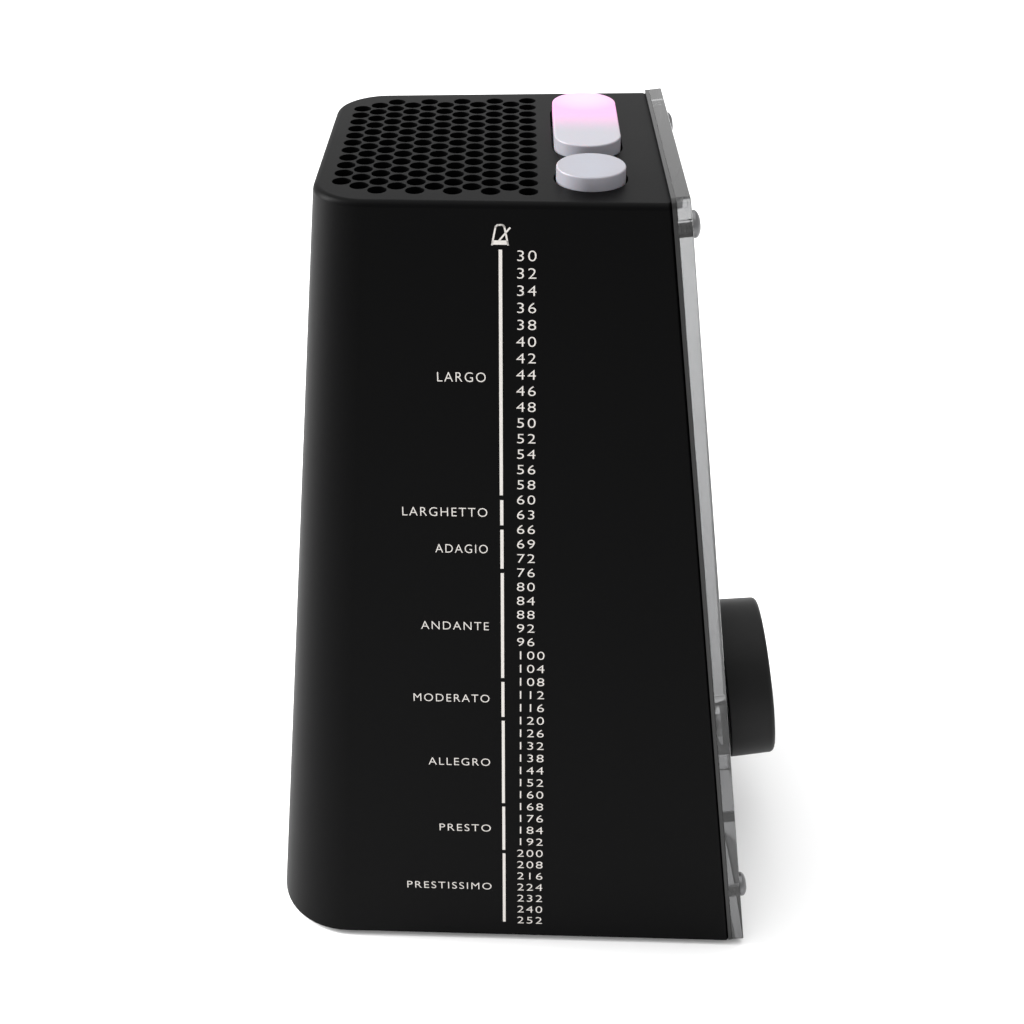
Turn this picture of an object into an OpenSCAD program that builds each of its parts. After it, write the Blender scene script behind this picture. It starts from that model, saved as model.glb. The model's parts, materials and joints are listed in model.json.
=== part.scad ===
// Electronic metronome in a tapered desk case, with a tempo dial, two top keys and a top speaker grille.
// The body tapers upwards. A clear plate covers its leaning front. +X is the case's right-hand side
// as its user faces it, -Y is the front, and the feet stand on Z = 0.

/* [Case] */
// Width of the body along its front edge at the bottom
base_w = 61; // [55:0.5:75]
// Width of the body along its rear edge at the bottom, before the corners are rounded
base_w_rear = 56.4; // [48:0.2:75]
// Depth of the body at the bottom
base_d = 69.8; // [62:0.2:90]
// Height of the body without its feet and keys
body_h = 117.3; // [97:0.1:145]
// Width of the body along its front edge at the top
top_w = 43; // [40:0.5:60]
// Depth of the body at the top
top_d = 43.3; // [41:0.1:60]
// How far the front edge at the top stands behind the one at the bottom
front_setback = 14.2; // [8:0.1:20]
// Radius of the rear corners at the bottom
rear_r_base = 11.2; // [9:0.1:13]
// Radius of the rear corners at the top
rear_r_top = 7; // [5:0.1:8]
// Thickness of the side, front and rear walls
wall = 2; // [1.6:0.1:2.4]
// Thickness of the top wall
top_t = 2.2; // [1.8:0.1:2.8]
// Width of the bevel round the top
top_edge = 0.8; // [0.4:0.1:1.2]
// Radius of the front corners
front_r = 0.6; // [0.3:0.1:1]

/* [Base] */
// Thickness of the base plate
base_t = 2; // [1.6:0.1:3]
// Clearance round the base plate
base_gap = 0.2; // [0.1:0.05:0.4]
// Height of the feet below the body
foot_h = 1; // [0.6:0.1:3]
// Depth of the pocket that each foot is glued into
foot_pocket = 0.5; // [0.3:0.1:0.8]
// Diameter of a foot
foot_d = 8; // [6:0.5:10]
// Distance of a foot's centre from the edges of the base
foot_inset = 10.5; // [9:0.5:13]
// Diameter of a case screw's shank
case_screw_d = 2.6; // [2:0.1:3]
// Length of a case screw under its head
case_screw_l = 8; // [6:0.5:11]
// Diameter of a case screw's head
case_head_d = 4.6; // [4:0.1:5.4]
// Thickness of a case screw's head
case_head_t = 1.2; // [0.8:0.1:1.6]
// Diameter of a screw boss
boss_d = 6.4; // [5.6:0.2:7]
// Distance of a screw boss from the front and rear walls
boss_setback = 17; // [15:0.5:19]
// Thickness of the web that joins a screw boss to its wall
web_t = 3; // [2:0.5:4]

/* [Front] */
// Thickness of the black sheet behind the clear plate
panel_t = 0.5; // [0.3:0.1:1]
// Thickness of the clear plate
plate_t = 1.8; // [1.2:0.1:2.4]
// How far the plate stands above the body's top edge
plate_over = 0.5; // [0:0.1:1]
// How far the plate reaches below the body's bottom edge
plate_under = 0.3; // [0:0.05:0.5]
// Radius of the plate's top corners
plate_r_top = 1.2; // [0.6:0.2:5]
// Radius of the plate's bottom corners
plate_r_base = 0.6; // [0.3:0.1:2]
// Distance of the top screws from the plate's side edges
screw_in_top = 3.3; // [3:0.1:4]
// Distance of the top screws from the plate's top edge
screw_drop = 4.6; // [4:0.1:6]
// Distance of the bottom screws from the plate's side edges
screw_in_base = 2.7; // [2.6:0.1:4]
// Height of the bottom screws up the front
screw_rise = 8.5; // [7:0.1:10]
// Diameter of a plate screw's shank
plate_screw_d = 2; // [1.6:0.1:2.2]
// Length of a plate screw under its head
plate_screw_l = 6; // [5:0.5:7]
// Diameter of a plate screw's head
plate_head_d = 3.5; // [3:0.1:4]
// Thickness of a plate screw's head
plate_head_t = 1.2; // [0.8:0.1:1.6]
// Width across the flats of a plate screw's socket
socket_w = 1.3; // [0.9:0.1:1.5]
// Outer diameter of a threaded insert
insert_d = 3.2; // [2.8:0.1:3.4]
// Length of a threaded insert
insert_l = 3; // [2.5:0.25:3]

/* [Display] */
// Width of the display's window
window_w = 32; // [24:1:34]
// Height of the display's window
window_h = 24; // [18:1:30]
// Distance of the window's middle below the top of the front
window_drop = 36; // [32:1:42]
// Thickness of the display's glass
glass_t = 2.2; // [1.6:0.1:2.8]
// Thickness of the light guide behind the glass
light_t = 2.4; // [1.6:0.1:2.8]
// Width of the glass all round that the window hides
glass_lap = 2; // [1:0.1:2.5]
// Thickness of the display frame's rim
frame_t = 1.1; // [0.8:0.1:1.4]

/* [Tempo dial] */
// Height of the dial's axis up the front
dial_rise = 26; // [22:0.5:32]
// Diameter of the dial next to the plate
dial_d = 25.3; // [20:0.1:30]
// Diameter of the dial at its front
dial_front_d = 24.8; // [19.6:0.1:30]
// Thickness of the dial
dial_t = 7; // [6:0.1:10]
// Gap between the dial and the plate
dial_gap = 1.5; // [0.5:0.1:3]
// Radius of the dial's front edge
dial_edge = 0.8; // [0.3:0.1:1.2]
// Thickness of the dial's skirt
dial_skirt = 1.8; // [1.2:0.1:3]
// Thickness of the dial's face
dial_face = 2; // [1.4:0.1:2.4]
// Diameter of the encoder's shaft
shaft_d = 6; // [4:0.5:6]
// Diameter of the encoder's threaded bush
bush_d = 7; // [6.8:0.1:8]
// How far that bush stands out of the black sheet
bush_proud = 1; // [0.5:0.1:1.8]
// Width and height of the encoder's body
encoder_w = 12; // [10:0.5:13]
// Radial running clearance of a shaft, a pin or a plunger in its bore
run_gap = 0.05; // [0.02:0.01:0.1]

/* [Top keys] */
// Diameter of the round key, and width of the long key
key_w = 8.6; // [7:0.1:9]
// Length of the long key
long_key_l = 21.7; // [14:0.1:22]
// Middle of the long key, to the right of the centre line
long_key_x = 4.9; // [4:0.1:6]
// Middle of the round key, to the left of the centre line
round_key_x = 12.7; // [12:0.1:13]
// Distance of the keys' middle behind the top's front edge
key_setback = 9.2; // [8.5:0.1:10]
// How far the keys stand above the top
key_proud = 1.7; // [1:0.1:2.5]
// How far a key travels when it is pressed
key_travel = 0.6; // [0.3:0.1:0.8]
// Clearance round a key in its hole
key_gap = 0.3; // [0.2:0.05:0.5]
// Width of the flange that keeps a key in its hole
key_flange = 0.7; // [0.5:0.1:0.9]
// Thickness of that flange
key_flange_t = 1.2; // [0.8:0.1:1.6]
// Thickness of a key's walls
key_wall = 1.3; // [1:0.1:1.6]
// Length of a key's stem below its flange
key_stem_l = 2.4; // [1.5:0.1:3]
// Diameter of a key's stem and of the plunger that it presses
stem_d = 3; // [2:0.1:4]
// Width and depth of a key switch
switch_w = 6; // [5:0.5:6.5]
// Height of a key switch's body
switch_h = 3; // [2.5:0.1:4]
// Distance of the long key's switch from its middle
switch_offset = 3.4; // [2:0.1:4]
// Width and depth of the beat lamp
lamp_w = 5; // [3:0.5:5]
// Height of the beat lamp
lamp_h = 1.6; // [1:0.1:2]

/* [Grille] */
// Diameter of a grille hole
hole_d = 2.35; // [1.8:0.05:2.4]
// Spacing of the holes across the case
hole_pitch_x = 2.86; // [2.6:0.01:3]
// Spacing of the hole columns from front to rear
hole_pitch_y = 2.29; // [2.1:0.01:2.4]
// Number of hole columns
grille_cols = 11; // [7:2:11]
// Number of holes in a long column
grille_rows = 13; // [9:2:13]
// Share by which each column is narrower than the one before it
grille_narrow = 0.0042; // [0:0.0002:0.006]
// Distance of the first column behind the top's front edge
grille_setback = 16.9; // [16:0.1:18]

/* [Speaker] */
// Diameter of the speaker
speaker_d = 26; // [22:0.5:26]
// Thickness of the speaker's flange
flange_t = 0.8; // [0.6:0.1:1.2]
// Thickness of the foam gasket
gasket_t = 0.8; // [0.5:0.1:1.2]
// Depth of the speaker's basket under the flange
basket_h = 4; // [3:0.1:5]
// Diameter of the magnet
magnet_d = 14; // [10:0.5:16]
// Thickness of the magnet
magnet_t = 3.5; // [2.5:0.1:5]

/* [Boards] */
// Thickness of a circuit board
board_t = 1.6; // [1:0.1:1.6]
// Gap between the front wall and the main board
board_gap = 6; // [5.5:0.5:8]
// Width of the main board
main_board_w = 37; // [30:1:38]
// Distance of the main board from the top and bottom of the front
board_margin = 14; // [12:1:18]
// Width of the key board
key_board_w = 36; // [34:1:37]
// Depth of the key board
key_board_d = 12; // [9:0.5:12.5]
// Length of the side board along the wall
side_board_l = 23; // [21:0.5:25]
// Reach of the side board into the case
side_board_d = 18; // [15:0.5:20]
// Diameter of a post that the main board sits on
post_d = 4; // [3:0.5:5]
// Thickness of the ledges under the key board and the side board
ledge_t = 1.5; // [1:0.1:2]
// Width of the ledge under the side board
ledge_w = 4; // [3:0.5:6]
// Width of the ribbon between the main board and the key board
ribbon_w = 10; // [6:1:14]

/* [Batteries] */
// Number of cells
cells = 3; // [2:1:3]
// Diameter of a cell
cell_d = 10.5; // [10.2:0.1:10.5]
// Length of a cell without its button
cell_l = 43.5; // [43:0.1:44]
// Height of the cell's positive button
button_l = 1; // [0.8:0.1:1.2]
// Room for the spring contact at a cell's other end
spring_l = 3.4; // [2.5:0.1:5]
// Thickness of the contact plates
contact_t = 0.4; // [0.3:0.1:0.6]
// Thickness of the tray's walls
tray_t = 1.2; // [1:0.1:1.6]
// Clearance between two cells and round them
cell_gap = 0.1; // [0.05:0.05:0.3]
// Height of the door's lower edge up the rear
door_rise = 9.5; // [8:0.5:14]
// Clearance round the door
door_gap = 0.25; // [0.15:0.05:0.4]
// Diameter of the door's hinge barrel
barrel_d = 3; // [2.6:0.1:3.2]
// Diameter of the door's hinge pins
pin_d = 1.5; // [1.2:0.1:1.8]
// Length of a hinge pin
pin_l = 1.4; // [1:0.1:1.8]

/* [Side controls] */
// Height of the side board up the right-hand side
side_rise = 22; // [16:1:30]
// Distance of the side board's middle behind the front edge
side_setback = 31; // [28:1:34]
// Diameter of the headphone plug
plug_d = 3.5; // [2.5, 3.5]
// Diametral clearance of the plug in its jack
plug_gap = 0.1; // [0.05:0.05:0.2]
// Depth of the jack
jack_l = 14; // [12:0.5:15]
// Width and height of the jack's body
jack_w = 6; // [5.5:0.5:7]
// Diameter of the volume wheel
wheel_d = 13; // [11:0.5:14]
// Thickness of the volume wheel
wheel_t = 2.2; // [1.8:0.1:3]
// How far the volume wheel stands out of the case
wheel_proud = 1.2; // [0.8:0.1:1.6]

/* [Leads] */
// Diameter of an inner lead
lead_d = 1.2; // [0.8:0.1:1.4]

/* [Hidden] */

$fn = 64;
slab = 0.01;
cut = 1;
// Small gap between two inner pieces, the gap kept to a piece that moves, and the overlap of a joined boss
slack = 0.1;
clear = 0.3;
bond = 0.2;
corner_fn = 48;
lean = atan(front_setback / body_h);
rear_lean = atan((base_d - top_d - front_setback) / body_h);
front_l = body_h / cos(lean);
// The dial's reach in front of the front plane, level with its axis, and the depth that centres the whole
dial_stand = panel_t + plate_t + dial_gap;
dial_reach = (dial_stand + dial_t - dial_edge) * cos(lean) + (dial_front_d / 2 - dial_edge) * sin(lean)
    + dial_edge;
front_y = (base_d + dial_rise * sin(lean) - dial_reach) / 2;
rear_y = base_d - front_y;
// Slopes of the side walls towards the rear and upwards
side_ky = (base_w - base_w_rear) / 2 / base_d;
side_kz = ((base_w - top_w) / 2 - side_ky * front_setback) / body_h;
side_lean = atan(side_kz * cos(atan(side_ky)));
side_yaw = atan(side_ky);
front_ks = (base_w - top_w) / 2 / front_l;

top_z = foot_h + body_h;
ceiling_z = top_z - top_t;
key_y = front_at(body_h) + key_setback;
grille_y = front_at(body_h) + grille_setback;
speaker_shift = 0.4;
speaker_y = grille_y + (grille_cols - 1) * hole_pitch_y / 2 + speaker_shift;
keys_rear_y = key_y + key_w / 2 + key_gap + key_flange + clear;
key_flange_z = ceiling_z - 2 * slack - key_flange_t;
plunger_z = key_flange_z - key_stem_l;
plunger_up = 1;
plunger_in = 1.2;
key_board_z = plunger_z - plunger_up - switch_h - board_t;
board_w0 = -wall - board_gap - board_t;
encoder_floor = 1.5;
shaft_w0 = board_w0 + board_t + encoder_floor + slack;
speaker_z = ceiling_z - gasket_t - flange_t;
basket_t = 0.8;
basket_r = magnet_d / 2 + 0.6;
cone_r = speaker_d / 2 - 2.2;
// Thickness and depth of the cone, width of its roll and radius of its dust cap
cone_t = 0.3;
cone_drop = 1.6;
roll_w = 0.6;
cap_r = 3.6;

row_w = cells * (cell_d + cell_gap) + cell_gap;
bay_w = row_w / 2;
bay_l = cell_l + button_l + spring_l + 2 * contact_t;
bay_rise = 1.6;
bay_v0 = door_rise + bay_rise;
door_h = bay_l + tray_t;
hinge_v = door_rise + door_gap + barrel_d / 2;
hinge_w = -barrel_d / 2;
tray_gap = 0.4;
tray_w = hinge_w - barrel_d / 2 - tray_gap;
cell_proud = 0.5;
cell_w = tray_w - cell_d / 2 + cell_proud;
tray_depth = cell_d - cell_proud + cell_gap + tray_t;
cell_v0 = bay_v0 + contact_t + spring_l;
button_d = 3.8;
contact_in = 0.6;
// Coils of a spring contact: their number, the largest radius and how much smaller each one is
coils = 3;
coil_r = 3.4;
coil_step = 0.7;
// Grip on the door: its ribs' number, length, height, spacing, depth, and its distance from the door's top
grips = 5;
grip_l = 10;
grip_h = 0.8;
grip_pitch = 1.6;
grip_t = 0.35;
grip_drop = 5;

jack_x = -jack_w / 2;
jack_y = -5.8;
wheel_y = 5.4;
wheel_z = wheel_proud - wheel_d / 2;
pot_h = 2.2;
pot_floor = 0.5;
wheel_hub_d = 3;
notch_d = 0.5;
notch_step = 12;
lug_w = 2.4;
// Height of a screw boss, how far its web reaches, and the cross in a case screw's head
boss_h = case_screw_l + 1.5;
web_l = boss_d / 2 + wall;
cross_w = 0.5;
cross_t = 0.6;
socket_t = 0.7;
rib_v = hinge_v + barrel_d / 2 + tray_gap;
pot_w = -2 * (wheel_z + wall + clear);
glass_w = -wall - slack - glass_t;
zebra_w = glass_lap - 0.6;
wheel_x = -pot_h - clear - wheel_t;
side_z0 = -wall - 0.4;

// Front and rear faces, half the width and the rear corners' radius at a height above the body's bottom
function front_at(z) = -front_y + front_setback * z / body_h;
function rear_at(z) = rear_y - (base_d - top_d - front_setback) * z / body_h;
function half_at(y, z) = base_w / 2 - side_ky * (y + front_y) - side_kz * z;
function corner_at(z) = rear_r_base + (rear_r_top - rear_r_base) * z / body_h;
function plate_half(v) = base_w / 2 - front_ks * v;
function boss_points() = [for (s = [-1, 1], e = [0, 1])
    let (y = e == 0 ? -front_y + boss_setback : rear_y - boss_setback)
    [s * (half_at(y, base_t + boss_h) - wall - slack - boss_d / 2), y]];
function plate_points() = [for (s = [-1, 1]) each [
    [s * (plate_half(front_l) - screw_in_top), front_l + plate_over - screw_drop],
    [s * (plate_half(screw_rise) - screw_in_base), screw_rise]]];
function cell_u(i) = (i - (cells - 1) / 2) * (cell_d + cell_gap);

// Places children on the leaning front: X across, Y up the front, Z out of it
module on_front(u = 0, v = 0, w = 0)
    translate([0, -front_y, foot_h]) rotate([90 - lean, 0, 0]) translate([u, v, w]) children();

// Places children on the leaning rear: X across, Y up the rear, Z out of it
module on_rear(u = 0, v = 0, w = 0)
    translate([0, rear_y, foot_h]) rotate([90 - rear_lean, 0, 180]) translate([u, v, w]) children();

// Places children on the right-hand side: X down it, Y to the rear, Z out of it
module on_side(d = 0, y = 0, w = 0) {
    mid_y = -front_y + side_setback;
    translate([half_at(mid_y, side_rise), mid_y, foot_h + side_rise])
        rotate([0, 90 - side_lean, side_yaw]) translate([d, y, w]) children();
}

// A thin level from height z with the body's outline at height at, drawn in by inset all round
module level(z, at, inset) {
    r = corner_at(at);
    y1 = rear_at(at) - r;
    x1 = half_at(y1, at) - r * sqrt(1 + side_ky * side_ky);
    y0 = front_at(at) + inset + front_r;
    x0 = half_at(y0, at) - inset - front_r;
    for (s = [-1, 1]) {
        translate([s * x0, y0, z]) cylinder(h = slab, r = front_r, $fn = 16);
        translate([s * x1, y1, z]) cylinder(h = slab, r = r - inset, $fn = corner_fn);
    }
}

// The tapered body from one height to another, drawn in by inset, with a bevel of the given width on top
module tapered(z0, z1, inset = 0, bevel = 0)
    translate([0, 0, foot_h]) hull() {
        level(z0, z0 + slab, inset);
        level(z1 - bevel - slab, z1 - bevel, inset);
        if (bevel > 0) level(z1 - slab, z1, inset + bevel);
    }

// Outline of the clear plate and of the sheet behind it
module plate_outline() {
    v1 = front_l + plate_over - plate_r_top;
    v0 = -plate_under + plate_r_base;
    hull() for (s = [-1, 1]) {
        translate([s * (plate_half(v1) - plate_r_top), v1]) circle(plate_r_top, $fn = 32);
        translate([s * (plate_half(v0) - plate_r_base), v0]) circle(plate_r_base, $fn = 32);
    }
}

// A long slot's outline along X
module slot_outline(l, w) {
    square([l - w, w], center = true);
    for (s = [-1, 1]) translate([s * (l - w) / 2, 0]) circle(d = w);
}

// Outline of the long key or of the round one, grown by extra all round
module key_outline(l, extra = 0) {
    if (l > key_w) slot_outline(l + 2 * extra, key_w + 2 * extra);
    else circle(d = key_w + 2 * extra);
}

module grille_holes()
    for (c = [0 : grille_cols - 1]) {
        n = grille_rows - (c % 2) - (c == grille_cols - 1 ? 2 : 0);
        for (i = [0 : n - 1])
            translate([(i - (n - 1) / 2) * hole_pitch_x * (1 - grille_narrow * c),
                grille_y + c * hole_pitch_y, ceiling_z - cut])
                cylinder(h = top_t + 2 * cut, d = hole_d, $fn = 32);
    }

module key_holes() {
    translate([long_key_x, key_y, ceiling_z - cut])
        linear_extrude(top_t + 2 * cut) key_outline(long_key_l, key_gap);
    translate([-round_key_x, key_y, ceiling_z - cut])
        linear_extrude(top_t + 2 * cut) key_outline(key_w, key_gap);
}

// Bosses for the plate's inserts and the case screws, the speaker's ring, the door's hinge lugs, and
// the posts, ledges and ribs that the boards and the battery tray sit on
module bosses() {
    for (p = plate_points())
        on_front(p[0], p[1], -wall - insert_l) cylinder(h = insert_l + wall - bond, d = insert_d + 2);
    for (p = boss_points()) translate([p[0], p[1], foot_h + base_t]) {
        cylinder(h = boss_h, d = boss_d);
        translate([p[0] < 0 ? -web_l : 0, -web_t / 2, 0]) cube([web_l, web_t, boss_h]);
    }
    intersection() {
        translate([0, speaker_y, speaker_z])
            cylinder(h = gasket_t + flange_t + bond, d = speaker_d + 2.4);
        translate([-base_w / 2, keys_rear_y, 0]) cube([base_w, base_d, top_z]);
    }
    for (s = [-1, 1]) {
        on_rear(s * (bay_w + lug_w / 2 + door_gap), hinge_v, hinge_w - barrel_d / 2)
            translate([-lug_w / 2, -barrel_d / 2, 0]) cube([lug_w, barrel_d, barrel_d / 2 + bond]);
        on_rear(s * (bay_w + (tray_t + door_gap) / 2) - (tray_t - door_gap) / 2, rib_v, tray_w)
            cube([tray_t - door_gap, bay_v0 + bay_l + tray_t - rib_v, bond - tray_w - wall / 2]);
        for (v = [board_margin + post_d / 2 + 1, front_l - board_margin - post_d / 2 - 1])
            on_front(s * (main_board_w / 2 - post_d / 2), v, -wall - board_gap)
                cylinder(h = board_gap + bond, d = post_d);
        translate([s * (key_board_w / 2 + base_w / 4 - ledge_t), key_y, key_board_z - ledge_t / 2])
            cube([base_w / 2, key_board_d / 2, ledge_t], center = true);
    }
    on_side(board_t, -side_board_l / 2 + 2, -wall - ledge_w)
        cube([ledge_t, side_board_l - 3, ledge_w + bond]);
}

module front_cuts() {
    for (p = plate_points())
        on_front(p[0], p[1], -wall - insert_l - cut)
            cylinder(h = insert_l + wall + 2 * cut, d = insert_d);
    on_front(-window_w / 2, front_l - window_drop - window_h / 2, -wall - cut)
        cube([window_w, window_h, wall + 2 * cut]);
    on_front(0, dial_rise, -wall - cut) cylinder(h = wall + 2 * cut, d = bush_d + 0.4);
}

module rear_cuts() {
    on_rear(-bay_w - door_gap, door_rise, -wall - cut)
        cube([2 * (bay_w + door_gap), door_h + 2 * door_gap + tray_gap, wall + 2 * cut]);
    on_rear(-bay_w - door_gap, door_rise, tray_w)
        cube([2 * (bay_w + door_gap), barrel_d + 2 * door_gap, -tray_w + cut]);
    on_rear(-bay_w - pin_l - clear, hinge_v, hinge_w)
        rotate([0, 90, 0]) cylinder(h = 2 * (bay_w + pin_l + clear), d = pin_d + 2 * run_gap);
}

module side_cuts() {
    on_side(jack_x, jack_y, -wall - 2 * cut) cylinder(h = wall + 4 * cut, d = jack_w - 0.2);
    on_side(wheel_x - 0.4, wheel_y - wheel_slot() / 2, -wall - 2 * cut)
        cube([wheel_t + 0.8, wheel_slot(), wall + 4 * cut]);
}

// Length of the slot that the volume wheel's edge comes through
function wheel_slot() = 2 * sqrt(pow(wheel_d / 2, 2) - pow(wheel_z + wall + clear, 2)) + 1;

module housing_shell() color([0.09, 0.09, 0.09]) difference() {
    union() {
        difference() {
            tapered(0, body_h, bevel = top_edge);
            tapered(-cut, body_h - top_t, inset = wall);
        }
        intersection() {
            tapered(0, body_h, bevel = top_edge);
            bosses();
        }
    }
    grille_holes();
    key_holes();
    front_cuts();
    rear_cuts();
    side_cuts();
    translate([0, speaker_y, speaker_z - cut])
        cylinder(h = gasket_t + flange_t + cut, d = speaker_d + clear);
    for (p = boss_points())
        translate([p[0], p[1], foot_h]) cylinder(h = base_t + case_screw_l, d = case_screw_d);
}

module base_plate() color([0.1, 0.1, 0.1]) difference() {
    intersection() {
        tapered(-cut, base_t + cut, inset = wall + base_gap);
        translate([-base_w, -base_d, foot_h]) cube([2 * base_w, 2 * base_d, base_t]);
    }
    for (p = foot_points())
        translate([p[0], p[1], foot_h - cut]) cylinder(h = foot_pocket + cut, d = foot_d + 0.2);
    for (p = boss_points()) translate([p[0], p[1], foot_h - cut]) {
        cylinder(h = base_t + 2 * cut, d = case_screw_d + clear);
        cylinder(h = case_head_t + cut, d = case_head_d + clear);
    }
}

function foot_points() = [for (s = [-1, 1], y = [-front_y + foot_inset, rear_y - foot_inset])
    [s * (half_at(y, 0) - foot_inset), y]];

module rubber_feet() color([0.16, 0.16, 0.16])
    for (p = foot_points())
        translate([p[0], p[1], 0]) cylinder(h = foot_h + foot_pocket, d = foot_d);

module case_screws() color([0.35, 0.35, 0.36])
    for (p = boss_points()) translate([p[0], p[1], foot_h]) difference() {
        union() {
            cylinder(h = case_head_t, d = case_head_d);
            cylinder(h = case_head_t + case_screw_l - 1, d = case_screw_d - 0.04);
        }
        for (a = [0, 90]) rotate([0, 0, a])
            translate([-case_head_d / 3, -cross_w / 2, -cut])
                cube([case_head_d * 2 / 3, cross_w, cut + cross_t]);
    }

module front_sheet(t, shaft_hole, screw_hole, window) difference() {
    linear_extrude(t) plate_outline();
    translate([0, dial_rise, -cut]) cylinder(h = t + 2 * cut, d = shaft_hole);
    for (p = plate_points()) translate([p[0], p[1], -cut]) cylinder(h = t + 2 * cut, d = screw_hole);
    if (window) translate([-window_w / 2, front_l - window_drop - window_h / 2, -cut])
        cube([window_w, window_h, t + 2 * cut]);
}

module front_panel() color([0.02, 0.02, 0.02])
    on_front() front_sheet(panel_t, bush_d + 1, plate_screw_d + 0.4, true);

module front_plate() color([0.75, 0.77, 0.78, 0.4])
    on_front(w = panel_t) front_sheet(plate_t, bush_d + 3.4, plate_screw_d + clear, false);

module plate_screws() color([0.05, 0.05, 0.05])
    for (p = plate_points()) on_front(p[0], p[1], panel_t + plate_t) difference() {
        union() {
            rotate_extrude() intersection() {
                translate([0, plate_head_t - dome_r()]) circle(dome_r());
                square([plate_head_d / 2, plate_head_t]);
            }
            translate([0, 0, -plate_screw_l]) cylinder(h = plate_screw_l + 0.1, d = plate_screw_d);
        }
        translate([0, 0, plate_head_t - socket_t]) cylinder(h = cut, d = socket_w / cos(30), $fn = 6);
    }

// Radius of the dome that leaves a plate screw's head a rim a third of its thickness high
function dome_r() = let (rise = plate_head_t * 2 / 3)
    (pow(plate_head_d / 2, 2) + rise * rise) / (2 * rise);

module plate_inserts() color([0.72, 0.58, 0.3])
    for (p = plate_points()) on_front(p[0], p[1], -wall - insert_l) difference() {
        cylinder(h = insert_l, d = insert_d);
        translate([0, 0, -cut]) cylinder(h = insert_l + 2 * cut, d = plate_screw_d + 0.1);
    }

module main_board() color([0.05, 0.25, 0.12])
    on_front(-main_board_w / 2, board_margin, board_w0)
        cube([main_board_w, front_l - 2 * board_margin, board_t]);

// Places children at the middle of the display's window
module on_window(w) on_front(0, front_l - window_drop, w) children();

module display_glass() color([0.1, 0.11, 0.11])
    on_window(glass_w) translate([-window_w / 2 - glass_lap, -window_h / 2 - glass_lap, 0])
        cube([window_w + 2 * glass_lap, window_h + 2 * glass_lap, glass_t]);

module display_light() color([0.9, 0.9, 0.92])
    on_window(glass_w - slack - light_t)
        translate([-window_w / 2, -window_h / 2, 0]) cube([window_w, window_h, light_t]);

module display_frame() color([0.12, 0.12, 0.12]) {
    w = window_w + 2 * (glass_lap + slack);
    h = window_h + 2 * (glass_lap + slack);
    on_window(board_w0 + board_t) difference() {
        translate([-w / 2 - frame_t, -h / 2 - frame_t, 0])
            cube([w + 2 * frame_t, h + 2 * frame_t, board_gap - slack]);
        translate([-w / 2, -h / 2, -cut]) cube([w, h, board_gap + 2 * cut]);
    }
}

module zebra_strips() color([0.25, 0.25, 0.27])
    for (s = [-1, 1]) on_window(board_w0 + board_t)
        translate([-window_w / 2, s * (window_h / 2 + glass_lap / 2 + slack) - zebra_w / 2, 0])
            cube([window_w, zebra_w, board_gap - slack - glass_t]);

module encoder_body() color([0.62, 0.62, 0.64])
    on_front(0, dial_rise, board_w0 + board_t) difference() {
        union() {
            translate([-encoder_w / 2, -encoder_w / 2, 0]) cube([encoder_w, encoder_w, board_gap - slack]);
            cylinder(h = board_gap + wall + panel_t + bush_proud, d = bush_d);
        }
        translate([0, 0, encoder_floor])
            cylinder(h = board_gap + wall + panel_t + bush_proud, d = shaft_d + 2 * run_gap);
    }

module encoder_shaft() color([0.7, 0.7, 0.72])
    on_front(0, dial_rise, shaft_w0)
        cylinder(h = dial_stand + dial_t - dial_face - clear - shaft_w0, d = shaft_d);

module tempo_dial() color([0.07, 0.07, 0.07]) {
    rb = dial_d / 2;
    rf = dial_front_d / 2;
    e = dial_edge;
    on_front(0, dial_rise, dial_stand) difference() {
        rotate_extrude($fn = 128) {
            polygon([[0, 0], [rb, 0], [rf, dial_t - e], [rf - e, dial_t - e], [rf - e, dial_t], [0, dial_t]]);
            translate([rf - e, dial_t - e]) intersection() {
                circle(e);
                square(e);
            }
        }
        translate([0, 0, -cut]) difference() {
            cylinder(h = dial_t - dial_face + cut, r = rf - dial_skirt);
            translate([0, 0, -cut]) cylinder(h = dial_t + 2 * cut, d = shaft_d + 3.2);
        }
        translate([0, 0, -cut]) cylinder(h = dial_t - dial_face + cut, d = shaft_d + 0.04);
    }
}

// A key: a cap closed at the top, its flange, and a stem down to the switch's plunger
module key(l, stem_x) {
    cap_z = top_z + key_proud;
    translate([0, 0, key_flange_z]) difference() {
        union() {
            linear_extrude(key_flange_t) key_outline(l, key_gap + key_flange);
            linear_extrude(cap_z - key_flange_z) key_outline(l);
        }
        translate([0, 0, -cut]) linear_extrude(cap_z - key_flange_z - key_wall + cut)
            key_outline_inner(l);
    }
    translate([stem_x, 0, plunger_z]) cylinder(h = cap_z - key_wall / 2 - plunger_z, d = stem_d);
}

module key_outline_inner(l) {
    if (l > key_w) slot_outline(l - 2 * key_wall, key_w - 2 * key_wall);
    else circle(d = key_w - 2 * key_wall);
}

module start_key() color([0.93, 0.9, 0.95])
    translate([long_key_x, key_y, 0]) key(long_key_l, -switch_offset);

module tap_key() color([0.85, 0.85, 0.87])
    translate([-round_key_x, key_y, 0]) key(key_w, 0);

// A key switch on the key board, with a pocket that its plunger runs in
module key_switch(x) translate([x, key_y, key_board_z + board_t]) difference() {
    translate([-switch_w / 2, -switch_w / 2, 0]) cube([switch_w, switch_w, switch_h]);
    translate([0, 0, switch_h - plunger_in - key_travel - 2 * slack])
        cylinder(h = switch_h, d = stem_d + 2 * run_gap);
}

module plunger(x)
    translate([x, key_y, plunger_z - plunger_up - plunger_in])
        cylinder(h = plunger_up + plunger_in, d = stem_d);

module start_switch() color([0.2, 0.2, 0.2]) key_switch(long_key_x - switch_offset);

module start_plunger() color([0.6, 0.15, 0.1]) plunger(long_key_x - switch_offset);

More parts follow.
